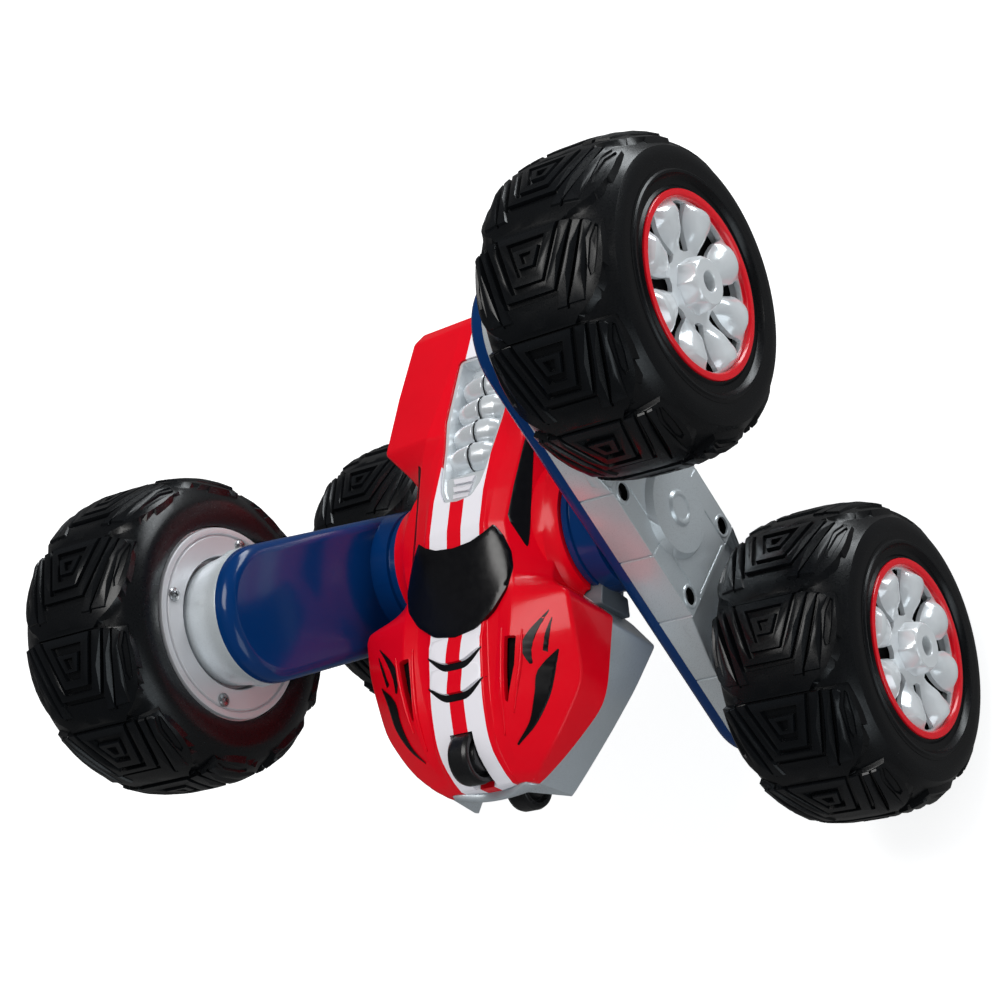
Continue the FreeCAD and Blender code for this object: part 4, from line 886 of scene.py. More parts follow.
# Half sections of the body, nose to tail: how far back, then across and up for the side crease and
# the top ridge, with the half width at the seam and the roof's height at the shoulder and middle.
SEAM = 3.5
UPPER_FORM = (
    # back, seam, side (across, up), ridge (across, up), shoulder, roof
    (-95.5, 19.6, 20.2, 7.0, 14.0, 8.2, 8.6, 9.0),
    (-92.0, 25.0, 26.2, 11.6, 17.0, 14.2, 15.6, 16.0),
    (-84.0, 34.0, 34.2, 13.4, 19.0, 21.5, 22.8, 23.0),
    (-72.0, 45.5, 42.5, 16.0, 20.8, 27.5, 27.3, 27.2),
    (-64.0, 47.6, 46.0, 16.4, 22.3, 29.3, 29.0, 28.9),
    (-50.0, 48.1, 47.1, 23.4, 24.3, 31.7, 31.2, 31.0),
    (-38.0, 48.5, 46.5, 27.4, 24.5, 31.8, 32.2, 32.3),
    (-35.0, 45.0, 45.6, 27.6, 24.5, 31.5, 32.6, 32.8),
    (-32.0, 41.4, 40.5, 26.0, 24.5, 31.3, 33.0, 33.3),
    (-28.0, 36.0, 35.6, 21.5, 24.4, 31.1, 33.7, 33.9),
    (-26.0, 34.0, 33.5, 20.0, 24.3, 31.0, 34.0, 34.3),
    (-16.0, 34.0, 33.5, 20.0, 22.4, 32.2, 35.4, 35.8),
    (-6.0, 34.0, 33.5, 20.0, 20.6, 33.4, 36.3, 36.9),
    (8.0, 34.0, 33.5, 20.0, 21.9, 32.1, 35.4, 36.0),
    (26.0, 34.0, 33.5, 20.0, 23.8, 29.9, 32.0, 32.3),
    (29.5, 36.0, 36.0, 22.5, 23.6, 29.9, 31.2, 31.5),
    (38.6, 44.5, 44.2, 28.4, 21.0, 31.4, 29.6, 29.5),
    (64.0, 44.5, 44.0, 24.0, 18.0, 25.6, 25.0, 25.0),
    (91.0, 44.0, 43.6, 18.0, 18.0, 19.3, 19.4, 19.6),
    (95.5, 42.0, 41.5, 15.5, 17.0, 17.0, 17.2, 17.4),
)
LOWER_FORM = (
    # back, seam, side (across, down), floor edge (across, down), floor
    (-95.5, 19.6, 22.2, -12.9, 19.6, -14.0, -14.0),
    (-92.0, 25.0, 24.4, -13.5, 20.0, -16.0, -16.0),
    (-84.0, 34.0, 28.9, -14.9, 20.0, -21.0, -21.0),
    (-72.0, 45.5, 35.5, -16.9, 22.0, -25.5, -25.5),
    (-57.0, 47.9, 42.7, -19.8, 24.0, -29.0, -29.0),
    (-40.0, 48.4, 48.5, -23.4, 26.0, -30.0, -30.0),
    (-30.0, 39.0, 38.8, -22.5, 28.0, -30.0, -30.0),
    (-26.0, 34.0, 34.0, -22.5, 28.0, -30.0, -30.0),
    (26.0, 34.0, 34.0, -22.5, 28.0, -30.0, -30.0),
    (38.6, 44.5, 44.0, -22.5, 29.0, -30.0, -30.0),
    (78.0, 44.3, 44.0, -20.0, 29.0, -30.0, -30.0),
    (95.5, 42.0, 41.0, -11.0, 26.0, -17.0, -17.0),
)
STRIPE_INNER, STRIPE_OUTER = 3.2, 11.5
STRIPE_WHITE = (0.92, 0.89, 0.94, 1)
BAND_EDGE = 12.4
SIDE_WALL = 2.2


def form_at(form, back):
    """The form's numbers at a station, softened over a short stretch."""
    def straight(y):
        y = min(max(y, form[0][0]), form[-1][0])
        k = 0
        while k < len(form) - 2 and form[k + 1][0] < y:
            k += 1
        t = (y - form[k][0]) / (form[k + 1][0] - form[k][0])
        return [lerp(a, b, t) for a, b in zip(form[k][1:], form[k + 1][1:])]

    spread = lerp(4.0, 0.9, smoothstep(-52.0, -42.0, back))
    spread = min(spread, abs(back - form[0][0]) + 0.01, abs(back - form[-1][0]) + 0.01)
    samples = [straight(back + spread * k / 4) for k in range(-4, 5)]
    return [sum(values) / len(samples) for values in zip(*samples)]


def stations(form):
    """Stations along the body, closer together where the form turns."""
    found = set()
    for row in form:
        for shift in (-1.6, -0.8, -0.3, 0.3, 0.8, 1.6):
            if form[0][0] < row[0] + shift < form[-1][0]:
                found.add(round(row[0] + shift, 2))
    y = form[0][0]
    while y < form[-1][0]:
        if all(abs(y - other) > 0.7 for other in found):
            found.add(round(y, 2))
        y += 2.6
    return sorted(found | {form[0][0], form[-1][0]})


def upper_half(back):
    """Half of the upper section, from the middle of the roof to the seam."""
    seam, side_x, side_z, ridge_x, ridge_z, shoulder, roof = form_at(UPPER_FORM, back)
    raise_band = 0.9 * (1 - smoothstep(-48.0, -45.0, back)) * smoothstep(-95.0, -88.0, back)
    valley = 1.0 * smoothstep(-84.0, -74.0, back) * (1 - smoothstep(-34.0, -28.0, back))
    at_edge = lerp(roof, shoulder, BAND_EDGE / 14.0)
    foot = max(ridge_x - 6.0, BAND_EDGE + 1.3)
    foot = min(foot, ridge_x - 1.5)
    corners = [(0.0, roof + raise_band), (BAND_EDGE, at_edge + raise_band),
               (BAND_EDGE + 1.2, at_edge - valley), (foot, lerp(shoulder, ridge_z, 0.3) - valley),
               (ridge_x, ridge_z), (side_x, side_z), (seam, SEAM)]
    return rounded(corners, (0, 0.8, 0.8, 2.0, 2.6, 2.2, 0), 3)


def lower_half(back):
    seam, side_x, side_z, floor_x, floor_z, floor = form_at(LOWER_FORM, back)
    return rounded([(0.0, floor), (floor_x, floor_z), (side_x, side_z), (seam, SEAM)],
                   (0, 3.0, 1.2, 0), 3)


def upper_inside(back):
    """Half of the hood's inner face, plainer than the outside."""
    seam, side_x, side_z, ridge_x, ridge_z, shoulder, roof = form_at(UPPER_FORM, back)
    return [(0.0, roof - 2.4), (ridge_x - 1.0, min(ridge_z, shoulder + 1.0) - 2.4),
            (side_x - SIDE_WALL, side_z - 1.6), (seam - SIDE_WALL, SEAM)]


def lower_inside(back):
    seam, side_x, side_z, floor_x, floor_z, floor = form_at(LOWER_FORM, back)
    return [(0.0, floor + 2.0), (floor_x - 1.0, floor_z + 2.0), (side_x - SIDE_WALL, side_z + 1.4),
            (seam - SIDE_WALL, SEAM)]


def skin_mesh(form, half_at, squeeze=1.0):
    """A sheet over the stations, closed at nose and tail and open at the seam."""
    rows = []
    for back in (station * squeeze for station in stations(form)):
        half = half_at(back)
        full = [(-x, z) for x, z in reversed(half[1:])] + half
        rows.append([(x, back, z) for x, z in full])
    count, last = len(full), (len(rows) - 1) * len(full)
    faces = [(here, here + 1, here + count + 1, here + count)
             for row in range(0, last, count) for here in range(row, row + count - 1)]
    faces += [tuple(range(count)), tuple(last + i for i in reversed(range(count)))]
    return [point for row in rows for point in row], faces


def hollow_mesh(form, outside, inside_half):
    """A closed shell between two sheets, joined along the seam."""
    outer, inner = skin_mesh(form, outside), skin_mesh(form, inside_half, 1 - SIDE_WALL / form[-1][0])
    rows = len(stations(form))
    wide, narrow = len(outer[0]) // rows, len(inner[0]) // rows
    start = len(outer[0])
    verts, faces = add(outer, (inner[0], [tuple(reversed(face)) for face in inner[1]]))
    ends = [[(k * wide + i, start + k * narrow + j) for k in range(rows)]
            for i, j in ((0, 0), (wide - 1, narrow - 1))]
    pairs = [pair for edge in ends for pair in zip(edge, edge[1:])]
    pairs += [(ends[0][k], ends[1][k]) for k in (0, -1)]
    return verts, faces + [(a, b, d, c) for (a, c), (b, d) in pairs]


UPPER_SKIN = skin_mesh(UPPER_FORM, upper_half)
UPPER_TREE = BVHTree.FromPolygons([Vector(v) for v in UPPER_SKIN[0]], UPPER_SKIN[1])


def roof_height(x, y):
    """The upper form's height over a point of the plan."""
    hit = UPPER_TREE.ray_cast(Vector((x, y, 80)), Vector((0, 0, -1)))[0]
    return hit.z if hit else SEAM


def flank_reach(y, z):
    """How far out the upper form's side lies."""
    hit = UPPER_TREE.ray_cast(Vector((80, y, z)), Vector((-1, 0, 0)))[0]
    return hit.x if hit else 34.0


def clear_height(x, y, reach):
    """The highest the roof gets within a small reach of a point."""
    return max(roof_height(x + a * reach, y + b * reach)
               for a, b in ((0, 0), (1, 0), (-1, 0), (0, 1), (0, -1)))


def draped(outline, lift, thick, step=2.0, crown=None, reach=0.0):
    """A plate that follows the roof under a plan outline."""
    flat, _, triangles = relief_patch(list(outline), [], step)
    verts = []
    for x, y in flat:
        rise = crown(x, y) if crown else 0.0
        ground = clear_height(x, y, reach) if reach else roof_height(x, y)
        verts.append((x, y, ground + lift + rise))
    return thicken((verts, triangles),
                   lambda v: Vector((v.x, v.y, roof_height(v.x, v.y) + lift - thick)))


def rib(path, radii):
    """A smooth round bead lying on the roof along plan points."""
    line = spline([(x, y, r) for (x, y), r in zip(path, radii)], 12)
    heights = [roof_height(x, y) for x, y, _ in line]
    rings = []
    for k, (x, y, radius) in enumerate(line):
        near = heights[max(k - 3, 0):k + 4]
        z = sum(near) / len(near)
        rings.append([(u, y, w) for u, w in circle_points(x, z, radius, 10)])
    return ring_stack(rings)


def draped_side(outline, lift, thick, step=2.0):
    """A plate that follows the left flank inside an outline of (y, z) points."""
    flat, levels, triangles = relief_patch(list(outline), [], step)
    verts = [(flank_reach(y, z) + lift, y, z) for y, z in flat]
    return thicken((verts, triangles), lambda v: Vector((v.x - thick, v.y, v.z)))


def mirrored(mesh):
    return moved(mesh, lambda v: (-v.x, v.y, v.z))


def both_sides(mesh):
    return add(mesh, mirrored(mesh))


def prism(outline, low, high, order=(0, 1, 2)):
    """An outline pulled up between two heights; order turns it to run along another axis."""
    count = len(outline)
    verts = [(x, y, z) for z in (low, high) for x, y in outline]
    faces = [tuple(reversed(range(count))), tuple(range(count, 2 * count))]
    faces += [(i, (i + 1) % count, count + (i + 1) % count, count + i) for i in range(count)]
    return [tuple(v[k] for k in order) for v in verts], faces


def carve(solid, cutters, joined=()):
    """A closed mesh with others joined to it and cut from it."""
    helpers = [new_object("carved", solid, CARVE_WELD)]
    for operation, group in (("UNION", joined), ("DIFFERENCE", cutters)):
        for cutter in group:
            cut = helpers[0].modifiers.new("cut", "BOOLEAN")
            cut.operation = operation
            cut.solver = "MANIFOLD"
            cut.object = new_object("cutter", cutter, CARVE_WELD)
            helpers.append(cut.object)
    bpy.context.view_layer.update()
    result = helpers[0].evaluated_get(bpy.context.evaluated_depsgraph_get()).to_mesh()
    mesh = [tuple(v.co / MM) for v in result.vertices], [tuple(p.vertices) for p in result.polygons]
    for item in helpers[1:] + helpers[:1]:
        bpy.data.objects.remove(item)
    return mesh


# ---------------------------------------------------------------- hood, tub and their trim


def symmetric(half):
    """A closed outline from its right half; both ends of the half lie on the middle line."""
    return list(half) + [(-x, y) for x, y in reversed(half) if x > 0.01]


SCREEN_OUTLINE = symmetric(rounded(
    [(0.0, -13.2), (8.0, -12.4), (13.5, -10.0), (17.4, -7.2), (20.6, -11.5), (23.2, -17.5),
     (24.2, -24.0), (22.4, -32.1), (17.1, -39.2), (9.5, -44.6), (0.0, -46.2)],
    (0, 4, 4, 0.6, 5, 6, 8, 8, 8, 8, 0), 3))
BAY_OUTLINE = symmetric(rounded(
    [(0.0, 5.6), (6.5, 6.6), (9.4, 11.7), (10.8, 18.0), (12.4, 31.0), (14.4, 44.0), (14.4, 73.4),
     (0.0, 73.4)], (0, 3, 4, 8, 10, 10, 2.5, 0), 3))
PANEL_OUTLINE = rounded(
    [(-15.6, 27.2), (-6.0, 31.9), (-3.4, 32.6), (8.0, 31.6), (27.5, 29.2), (30.5, 28.0), (22.0, 26.9),
     (-10.0, 26.8)], 0.4, 2, closed=True)
ALONG_X, ALONG_Y = (2, 0, 1), (0, 2, 1)
UPPER_ROLLER = centre_of("upper_roller")
ROLLER_ROOM = 5.0
POCKET_BACK = -75.8
POCKET_TOP = [(5.0, 1.0), (8.0, 0.0)]
POCKET_SLOPE = 0.968


def slot_outline(grow=0.0):
    """The left hood slot: broad at the back, narrowing to a point in front."""
    return rounded([(21.9 - grow, -49.8 + grow), (26.7 + grow, -50.3 + grow), (25.2 + grow, -60.2),
                    (21.5 + grow, -73.0 - grow), (20.7 - grow, -72.0), (21.1 - grow, -60.0)],
                   0.5, 2, closed=True)


def hub_flare(sign, above):
    """Half of the round boss that faces an arm's collar, spreading into the flank."""
    count, flat = 48, SEAM + (0.02 if above else -0.02)
    rings = []
    for x in (38.0, 37.0, 36.0, 35.0, 34.0, 33.0, 32.0, 24.0):
        spread = min((38.0 - x) / 6.0, 1.0) ** 2
        ring = []
        for k in range(count + 1):
            turn = pi * k / count
            radius = 25.4 + spread * (7.0 * (1 - 0.8 * sin(turn) ** 2) if above else 3.0)
            y, z = radius * cos(turn), radius * sin(turn) * (1 if above else -1)
            ring.append((sign * x, y, max(z, flat) if above else min(z, flat)))
        rings.append(ring)
    return ring_stack(rings)


def axle_bore():
    return prism(circle_points(0, 0, 16.3, 64), -45.0, 45.0, ALONG_X)


def roller_room(centre, up):
    """The slot in the nose that a roller sits in, rounded at its back."""
    reach = 10.2
    arc = circle_points(0, 0, reach, 16, radians(-60), radians(150))
    outline = [(centre.y + y, centre.z + up * z) for y, z in arc]
    outline += [(centre.y - 30.0, centre.z + up * reach), (centre.y - 30.0, centre.z - up * 9.5)]
    return prism(outline, -ROLLER_ROOM, ROLLER_ROOM, ALONG_X)


def lower_recess():
    """The notch in the tub's front that leaves the lower roller free between two fins."""
    half = POCKET_TOP + [(8.0 + 30.0 * POCKET_SLOPE, -30.0)]
    return prism([(-x, z) for x, z in reversed(half)] + half, -100.0, POCKET_BACK, ALONG_Y)


def nose_notch(sign):
    """The step in the seam beside the nose, where the silver chin shows."""
    outline = [(2.0, 0.0), (2.0, 3.45), (16.2, 7.3), (19.2, 3.0), (19.2, 0.0)]
    return prism([(sign * x, z) for x, z in outline], -100.0, -88.0, ALONG_Y)


def striped(material):
    """Paints the two white stripes along a copy of the red finish."""
    copy = material.copy()
    copy.name = "striped_red"
    tree = copy.node_tree
    shader = tree.nodes["Principled BSDF"]
    base = shader.inputs["Base Color"].links[0].from_socket
    place = add_node(tree, "TexCoord").outputs["Object"]

    def maths(operation, *values):
        return add_node(tree, "Math", enumerate(values), operation=operation).outputs["Value"]

    across = maths("ABSOLUTE", add_node(tree, "SeparateXYZ", {"Vector": place}).outputs["X"])
    stripe = maths("MULTIPLY", maths("GREATER_THAN", across, STRIPE_INNER * MM),
                   maths("LESS_THAN", across, STRIPE_OUTER * MM))
    feed(tree, shader, {"Base Color": mixed(tree, stripe, base, STRIPE_WHITE)})
    return copy


STRIPED = striped(BODY_RED)
WHITE = node_material("engine_silver", (0.78, 0.76, 0.80), 0.3, coat=0.4)
hood = carve(hollow_mesh(UPPER_FORM, upper_half, upper_inside),
             [prism(BAY_OUTLINE, 14.0, 60.0), roller_room(UPPER_ROLLER, 1),
              prism(slot_outline(), 20.0, 50.0),
              prism([(-x, y) for x, y in slot_outline()], 20.0, 50.0), nose_notch(1), nose_notch(-1),
              axle_bore()],
             [hub_flare(1, True), hub_flare(-1, True)])
add_piece("hood_cover", hood, STRIPED, ["hood_shell"], sharp=30, weld=0.002)
door_hole = prism(rectangle(-25.2, 25.2, 23.8, 74.2), -40.0, -24.0)
switch_hole = prism(rectangle(-6.0, 6.0, -38.0, -28.0), -35.0, -24.0)
tub = carve(hollow_mesh(LOWER_FORM, lower_half, lower_inside),
            [lower_recess(), axle_bore(), door_hole, switch_hole],
            [hub_flare(1, False), hub_flare(-1, False)])
add_piece("silver_tub", tub, SHELL_SILVER, ["lower_shell"], sharp=30, weld=0.002)


def screen_height(x, y):
    """A smooth crown through the roof's middle, shoulder and ridge."""
    rows = [form_at(UPPER_FORM, y + shift) for shift in (-9, -6, -3, 0, 3, 6, 9)]
    ridge_x, ridge_z, shoulder, roof = (sum(row[k] for row in rows) / len(rows) for k in (3, 4, 5, 6))
    inner, outer = 14.0 ** 2, ridge_x ** 2
    drop_in, drop_out = shoulder - roof, ridge_z - roof
    quartic = (drop_out / outer - drop_in / inner) / (outer - inner)
    square = drop_in / inner - quartic * inner
    return roof + square * x * x + quartic * x ** 4


def screen_mesh():
    flat, _, triangles = relief_patch(SCREEN_OUTLINE, [], 1.5)
    lift = max(roof_height(x, y) - screen_height(x, y) for x, y in flat) + 0.2
    verts = []
    for x, y in flat:
        edge = smoothstep(0.0, 1.0, gap_to(SCREEN_OUTLINE, x, y))
        verts.append((x, y, screen_height(x, y) + lift + 0.25 * edge))
    return thicken((verts, triangles), lambda v: Vector((v.x, v.y, v.z - 1.6)))


add_piece("black_windscreen", screen_mesh(), SCREEN, ["windscreen"], sharp=60)
panel = draped_side(PANEL_OUTLINE, 0.3, 0.7, 1.0)
add_piece("left_black_panel", panel, PANEL, ["left_side_panel"], sharp=50)
add_piece("right_black_panel", mirrored(panel), PANEL, ["right_side_panel"], sharp=50)


def tapered_blade(path, widths):
    """An outline that swells along a smooth path; widths holds the half width at each path point."""
    line = spline([(x, y, w) for (x, y), w in zip(path, widths)], 5)
    left, right = [], []
    for i, (x, y, w) in enumerate(line):
        ahead, behind = line[min(i + 1, len(line) - 1)], line[max(i - 1, 0)]
        along = Vector((ahead[0] - behind[0], ahead[1] - behind[1])).normalized()
        left.append((x - along.y * w, y + along.x * w))
        right.append((x + along.y * w, y - along.x * w))
    return left + right[::-1]


# three plain sweeping marks on each side of the hood
MARKS = (
    tapered_blade([(38.8, -42.2), (32.9, -48.9), (29.9, -54.7), (30.7, -60.1)], [0.12, 1.2, 1.7, 0.5]),
    tapered_blade([(39.7, -44.9), (37.5, -50.5), (35.9, -56.1)], [0.12, 0.7, 0.8]),
    tapered_blade([(40.3, -55.6), (35.0, -63.4), (32.6, -70.8), (27.7, -79.5), (20.9, -86.0)],
                  [0.15, 2.6, 2.2, 0.9, 0.12]),
)
for number, mark in enumerate(MARKS, 1):
    blade = draped(mark, 0.15, 0.6, 0.9, reach=0.5)
    add_piece(f"hood_mark_{number}", both_sides(blade), PANEL, sharp=60)


lips = add(rib([(20.4, -46.5), (19.9, -60.0), (19.0, -73.0), (17.6, -83.0)], [0.5, 0.8, 0.7, 0.25]),
           rib([(28.9, -48.2), (27.4, -58.4), (25.0, -68.2), (22.7, -76.2)], [0.4, 0.75, 0.6, 0.2]))
add_piece("slot_lips", both_sides(lips), BODY_RED, sharp=70)
# black floors under the hood slots: painted shade for the dark inside
slot_shade_floor = draped(slot_outline(2.2), -2.8, 1.0, 3.0)
add_piece("slot_shade_floors", both_sides(slot_shade_floor), SHADE_BLACK)


def louvre_line(t):
    """How far a louvre's edge has swung back towards its points."""
    return smoothstep(0.25, 1.15, abs(t)) * 1.12


def louvre_outline(back, sag, half, thick):
    """A crescent across the stripes, its middle nearer the nose and its points turned back."""
    steps = [k / 12 for k in range(-12, 13)]
    front = [(half * t, back - sag * (1 - louvre_line(t)) - thick * (1 - abs(t) ** 3)) for t in steps]
    rear = [(half * t, back - sag * (1 - louvre_line(t))) for t in reversed(steps)]
    return front + rear[1:-1]


LOUVRE_SAG = 4.2
for number, (back, half) in enumerate(((-51.5, 13.2), (-62.5, 13.4)), 1):
    louvre = draped(louvre_outline(back, LOUVRE_SAG, half, 2.6), 0.1, 0.8, 1.4)
    add_piece(f"louvre_{number}", louvre, PANEL, sharp=60)
    lip_line = [(half * 0.96 * t, back + 0.1 - LOUVRE_SAG * (1 - louvre_line(t)))
                for t in (k / 10 for k in range(-10, 11))]
    lip_outline = lip_line + [(half * 0.8, back + 5.5), (0.0, back + 6.5), (-half * 0.8, back + 5.5)]

    def scoop(x, y, front=back - LOUVRE_SAG, half=half):
        side = 1 - smoothstep(half * 0.55, half * 0.98, abs(x))
        return 0.05 + 1.3 * (1 - smoothstep(0.0, 9.0, y - front)) * side

    add_piece(f"louvre_lip_{number}", draped(lip_outline, 0.0, 0.8, 1.4, crown=scoop), STRIPED, sharp=50)


# ---------------------------------------------------------------- mock engine

PIPE_ROWS = 4
FIRST_PIPE, PIPE_PITCH = 27.6, 10.7


def barrel(radius, length, end, nose):
    """One fat pipe along +X from a closed round start to a domed end."""
    profile = rounded([(0.0, 0.1), (0.0, radius - nose), (nose, radius), (length * 0.55, radius),
                       (length * 0.86, lerp(radius, end, 0.6)), (length, end * 0.7),
                       (length + 0.4, 0.1)],
                      (0, nose * 0.8, nose * 0.8, 3, 2.5, 1.6, 0), 4)
    return lathe(profile, 40, closed=False)


def pipe_place(row, sign):
    """Puts a pipe in its row, leaning outwards and down."""
    y = FIRST_PIPE + PIPE_PITCH * row
    lean = Matrix.Rotation(0.20, 3, "Y")
    if sign < 0:
        lean = Matrix.Scale(-1, 3, Vector((1, 0, 0))) @ lean
    start = Vector((sign * -0.6 - 0.8, y, roof_height(0.0, y) - 5.3))
    return lambda v: lean @ v + start


def engine_mesh():
    fitted, inner, core = (inset(BAY_OUTLINE, gap) for gap in (0.25, 1.5, 1.9))
    floor = inner, core, lambda x, y: lerp(-1.6, -7.5, smoothstep(18.0, 19.6, y))
    flat, levels, triangles = relief_patch(fitted, [floor], 2.0, lambda x, y: -0.8)
    verts = [(x, y, roof_height(x, y) + level) for (x, y), level in zip(flat, levels)]
    tray = thicken((verts, triangles), lambda v: Vector((v.x, v.y, roof_height(v.x, v.y) - 9.5)))
    pipes = [moved(barrel(*size), pipe_place(row, sign)) for row in range(PIPE_ROWS)
             for sign, size in ((1, (5.5, 11.4, 3.2, 1.4)), (-1, (5.2, 12.2, 4.4, 0.4)))]
    return add(tray, *pipes)


add_piece("engine_block", engine_mesh(), ENGINE, ["engine_insert"], sharp=40)
gap_ring = lathe(circle_points(0.25, 5.15, 0.3, 10), 40)
gaps = [moved(gap_ring, pipe_place(row, 1)) for row in range(PIPE_ROWS)]
add_piece("pipe_gaps", add(*gaps), PANEL)
# three slanted white slats in front of the pipes: left rear, right rear, right front, left front
SLATS = (((-5.0, 16.9), (5.4, 16.1), (4.9, 13.3), (-3.3, 14.1)),
         ((-4.3, 13.4), (5.0, 12.5), (4.4, 9.6), (-2.7, 10.5)),
         ((-3.5, 9.8), (4.4, 8.9), (4.2, 7.3), (-2.6, 7.5)))
for number, bar in enumerate(SLATS, 1):
    rear = max(y for _, y in bar)
    slat = draped(bar, -1.2, 1.0, 2.0, crown=lambda x, y: 0.25 * (rear - y))
    add_piece(f"intake_slat_{number}", slat, WHITE)


# ---------------------------------------------------------------- nose and flanks

ROLLER_HALF = [(-4.5, 1.6), (-4.5, 5.2), (-2.4, 6.2), (-2.4, 6.8), (-4.4, 7.6), (-4.2, 9.3), (-2.6, 9.9)]
ROLLER_PROFILE = rounded(ROLLER_HALF + [(-x, radius) for x, radius in reversed(ROLLER_HALF)],
                         0.6, 3, closed=True)
for name in ("upper_roller", "lower_roller"):
    spot = centre_of(name)
    wheel = moved(lathe(ROLLER_PROFILE, 64), lambda v: Vector((v.x, v.y + spot.y, v.z + spot.z)))
    add_piece(f"{name}_wheel", wheel, ROLLER, [name], body=name)


def chin_mesh():
    """The silver lip that shows through the step in the seam, just inside the nose."""
    rings = []
    for back in (-95.2, -93.0, -90.0):
        half = form_at(UPPER_FORM, back)
        rings.append([(half[0] - 0.9, back, SEAM - 1.5), (half[1] - 0.9, back, half[2]),
                      (half[3] - 0.7, back, half[4] - 0.8), (ROLLER_ROOM + 0.6, back, half[4] - 0.6),
                      (ROLLER_ROOM + 0.6, back, 4.8), (0.0, back, 4.2), (0.0, back, SEAM - 1.5)])
    return ring_stack(rings)


add_piece("silver_chin", both_sides(chin_mesh()), SHELL_SILVER)


def lip_mesh():
    """The silver lip that rounds the nose below the hood and rises towards the fins."""
    rings = []
    for k in range(-16, 17):
        t = k / 16
        front = -95.7 - 2.4 * (1 - t * t)
        top = 3.1 + 4.2 * smoothstep(0.2, 0.84, abs(t)) * (1 - smoothstep(0.86, 1.0, abs(t)))
        section = ((-94.6, 1.0), (front + 0.3, 1.0), (front, 1.4), (front, top - 0.4),
                   (front + 0.4, top), (-94.6, top))
        rings.append([(19.0 * t, back, z) for back, z in section])
    return ring_stack(rings)


add_piece("nose_lip", lip_mesh(), SHELL_SILVER, sharp=50)


def pocket_mesh():
    """The lining round the lower roller: a bent roof with sloping cheeks, and a back."""
    rings = []
    for step in range(8):
        y = lerp(-94.0, POCKET_BACK, step / 7)
        _, side_x, side_z, floor_x, floor_z, _ = form_at(LOWER_FORM, y)
        lean = (side_x - floor_x) / (side_z - floor_z)
        foot = (8.0 - side_x + lean * side_z) / (lean + POCKET_SLOPE) + 0.5
        half = POCKET_TOP + [(8.0 - foot * POCKET_SLOPE, foot)]
        under = [(-x, z) for x, z in reversed(half)] + half
        over = [(x + (0.9 if x > 8.5 else -0.9 if x < -8.5 else 0), z + (0.9 if z > foot else 0.4))
                for x, z in reversed(under)]
        rings.append([(x, y, z) for x, z in under + over])
    back = [[(x, y, z) for x, z in under] for y in (POCKET_BACK - 0.1, POCKET_BACK + 1.1)]
    return add(ring_stack(rings), ring_stack(back))


add_piece("roller_pocket", pocket_mesh(), SHELL_SILVER)


def bracket_mesh():
    """The block between the fender's back edge and the flank, its silver darkened as painted shade."""
    outline = rounded([(-22.5, 3.0), (-31.5, 3.0), (-31.0, -15.0), (-24.0, -13.0)], 0.8, 2, closed=True)
    return prism(outline, 33.0, 43.0, ALONG_X)


soften(add_piece("fender_brackets", both_sides(bracket_mesh()), SHADED_SILVER), 0.4, 40)


# ---------------------------------------------------------------- camera, floor, light

CAMERA_TARGET = Vector((-0.7, 16.6, 10.4)) * MM
CAMERA_DISTANCE = 932.7 * MM
CAMERA_AZIMUTH = radians(53.93)
CAMERA_ELEVATION = radians(44.76)
CAMERA_ROLL = radians(-59.34)
LENS = 89.95


def add_camera():
    across, level_reach = sin(CAMERA_AZIMUTH), cos(CAMERA_ELEVATION)
    back = Vector((across * level_reach, -cos(CAMERA_AZIMUTH) * level_reach, sin(CAMERA_ELEVATION)))
    level = (-back).cross(Vector((0, 0, 1))).normalized()
    right = level * cos(CAMERA_ROLL) + level.cross(-back) * sin(CAMERA_ROLL)
    up = back.cross(right)
    data = bpy.data.cameras.new("camera")
    data.lens = LENS
    data.sensor_width = 36
    camera = linked("camera", data)
    turn = Matrix((right, up, back)).transposed().to_4x4()
    camera.matrix_world = Matrix.Translation(CAMERA_TARGET + back * CAMERA_DISTANCE) @ turn
    bpy.context.scene.camera = camera
    return right, up, back


def add_light(name, place, aim, size, power, colour):
    data = bpy.data.lights.new(name, "AREA")
    data.shape = "RECTANGLE"
    data.size, data.size_y = size
    data.energy = power
    data.color = colour
    light = linked(name, data)
    light.location = place
    light.rotation_euler = (aim - place).to_track_quat("-Z", "Y").to_euler()


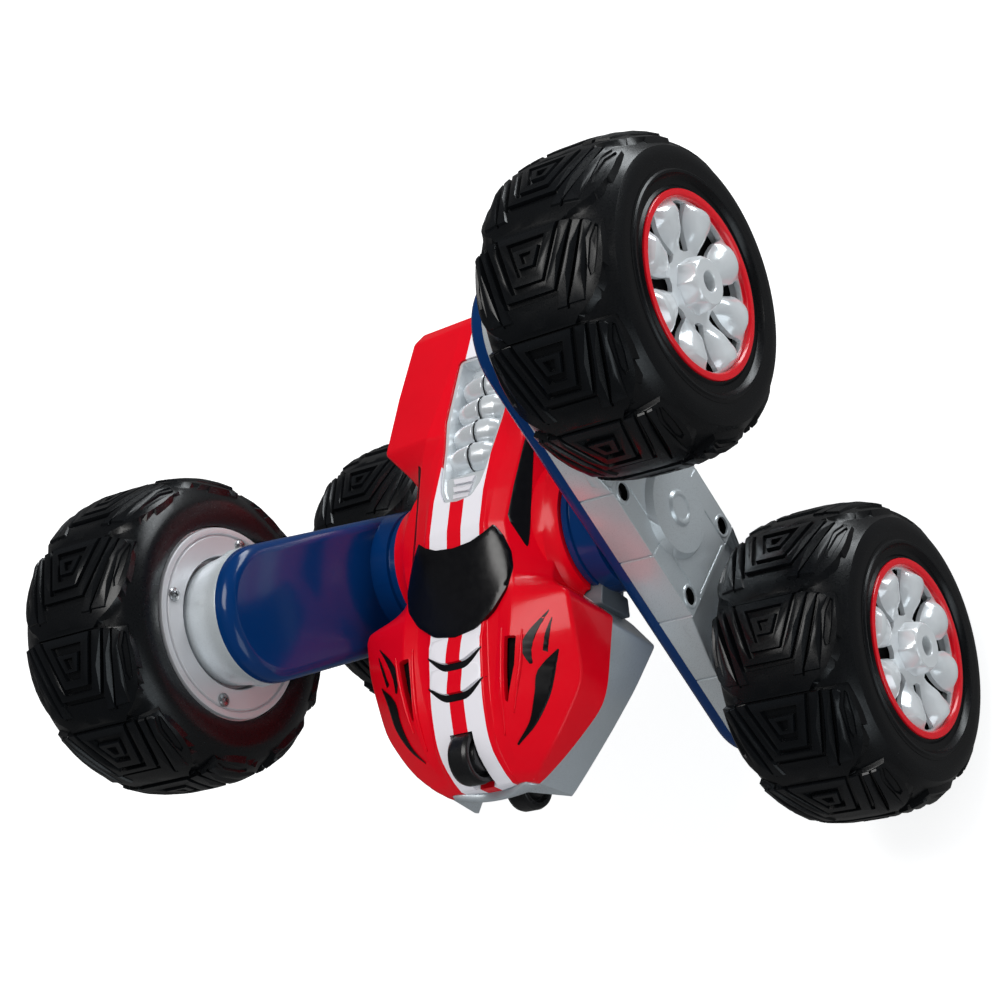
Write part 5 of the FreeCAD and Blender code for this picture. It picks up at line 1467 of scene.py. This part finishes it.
def studio_shade(tree, seen, lit, mirrored):
    """A strength that differs for the camera, for soft light and for reflections."""
    path = add_node(tree, "LightPath").outputs
    unseen = mixed(tree, path["Is Glossy Ray"], lit, mirrored, "FLOAT")
    return mixed(tree, path["Is Camera Ray"], unseen, seen, "FLOAT")


def add_stage():
    reach, low = 6000.0, cad_box[0].z / MM - 2.0
    corners = [(-reach, -reach, low), (reach, -reach, low), (reach, reach, low), (-reach, reach, low)]
    floor = new_object("floor", (corners, [(0, 1, 2, 3)]), CARVE_WELD)
    finish = bpy.data.materials.new("floor_pale")
    finish.use_nodes = True
    tree = finish.node_tree
    shader = tree.nodes["Principled BSDF"]
    feed(tree, shader, {
        "Base Color": (0.55, 0.55, 0.55, 1), "Roughness": 0.9, "Specular IOR Level": 0.0,
        "Emission Color": (1, 1, 1, 1), "Emission Strength": studio_shade(tree, 0.80, 0.1, 0.0)})
    dim = add_node(tree, "Emission", {"Strength": 0.12}).outputs["Emission"]
    choice = add_node(tree, "MixShader", {"Fac": add_node(tree, "LightPath").outputs["Is Glossy Ray"],
                                          1: shader.outputs["BSDF"], 2: dim})
    feed(tree, tree.nodes["Material Output"], {"Surface": choice.outputs["Shader"]})
    floor.data.materials.append(finish)


right, up, back = add_camera()
add_stage()
bpy.context.scene.view_settings.view_transform = "Standard"
world = bpy.data.worlds.new("studio")
bpy.context.scene.world = world
world.use_nodes = True
sky = world.node_tree
feed(sky, sky.nodes["Background"], {"Color": (0.94, 0.97, 1.0, 1),
                                    "Strength": studio_shade(sky, 1.0, 0.40, 0.05)})
middle = Vector((0, 0, 0))


def camera_side(across, above, towards):
    """A place given as seen by the camera, in metres."""
    return right * across + up * above + back * towards


add_light("key", camera_side(-1.0, 0.9, 1.2), middle, (1.0, 1.0), 17, (1.0, 0.99, 0.97))
add_light("fill", camera_side(1.1, -0.7, 1.5), middle, (1.3, 1.3), 9, (0.84, 0.94, 1.0))
add_light("edge", camera_side(0.4, 1.3, -0.1), middle, (1.3, 0.4), 11, (0.92, 0.97, 1.0))
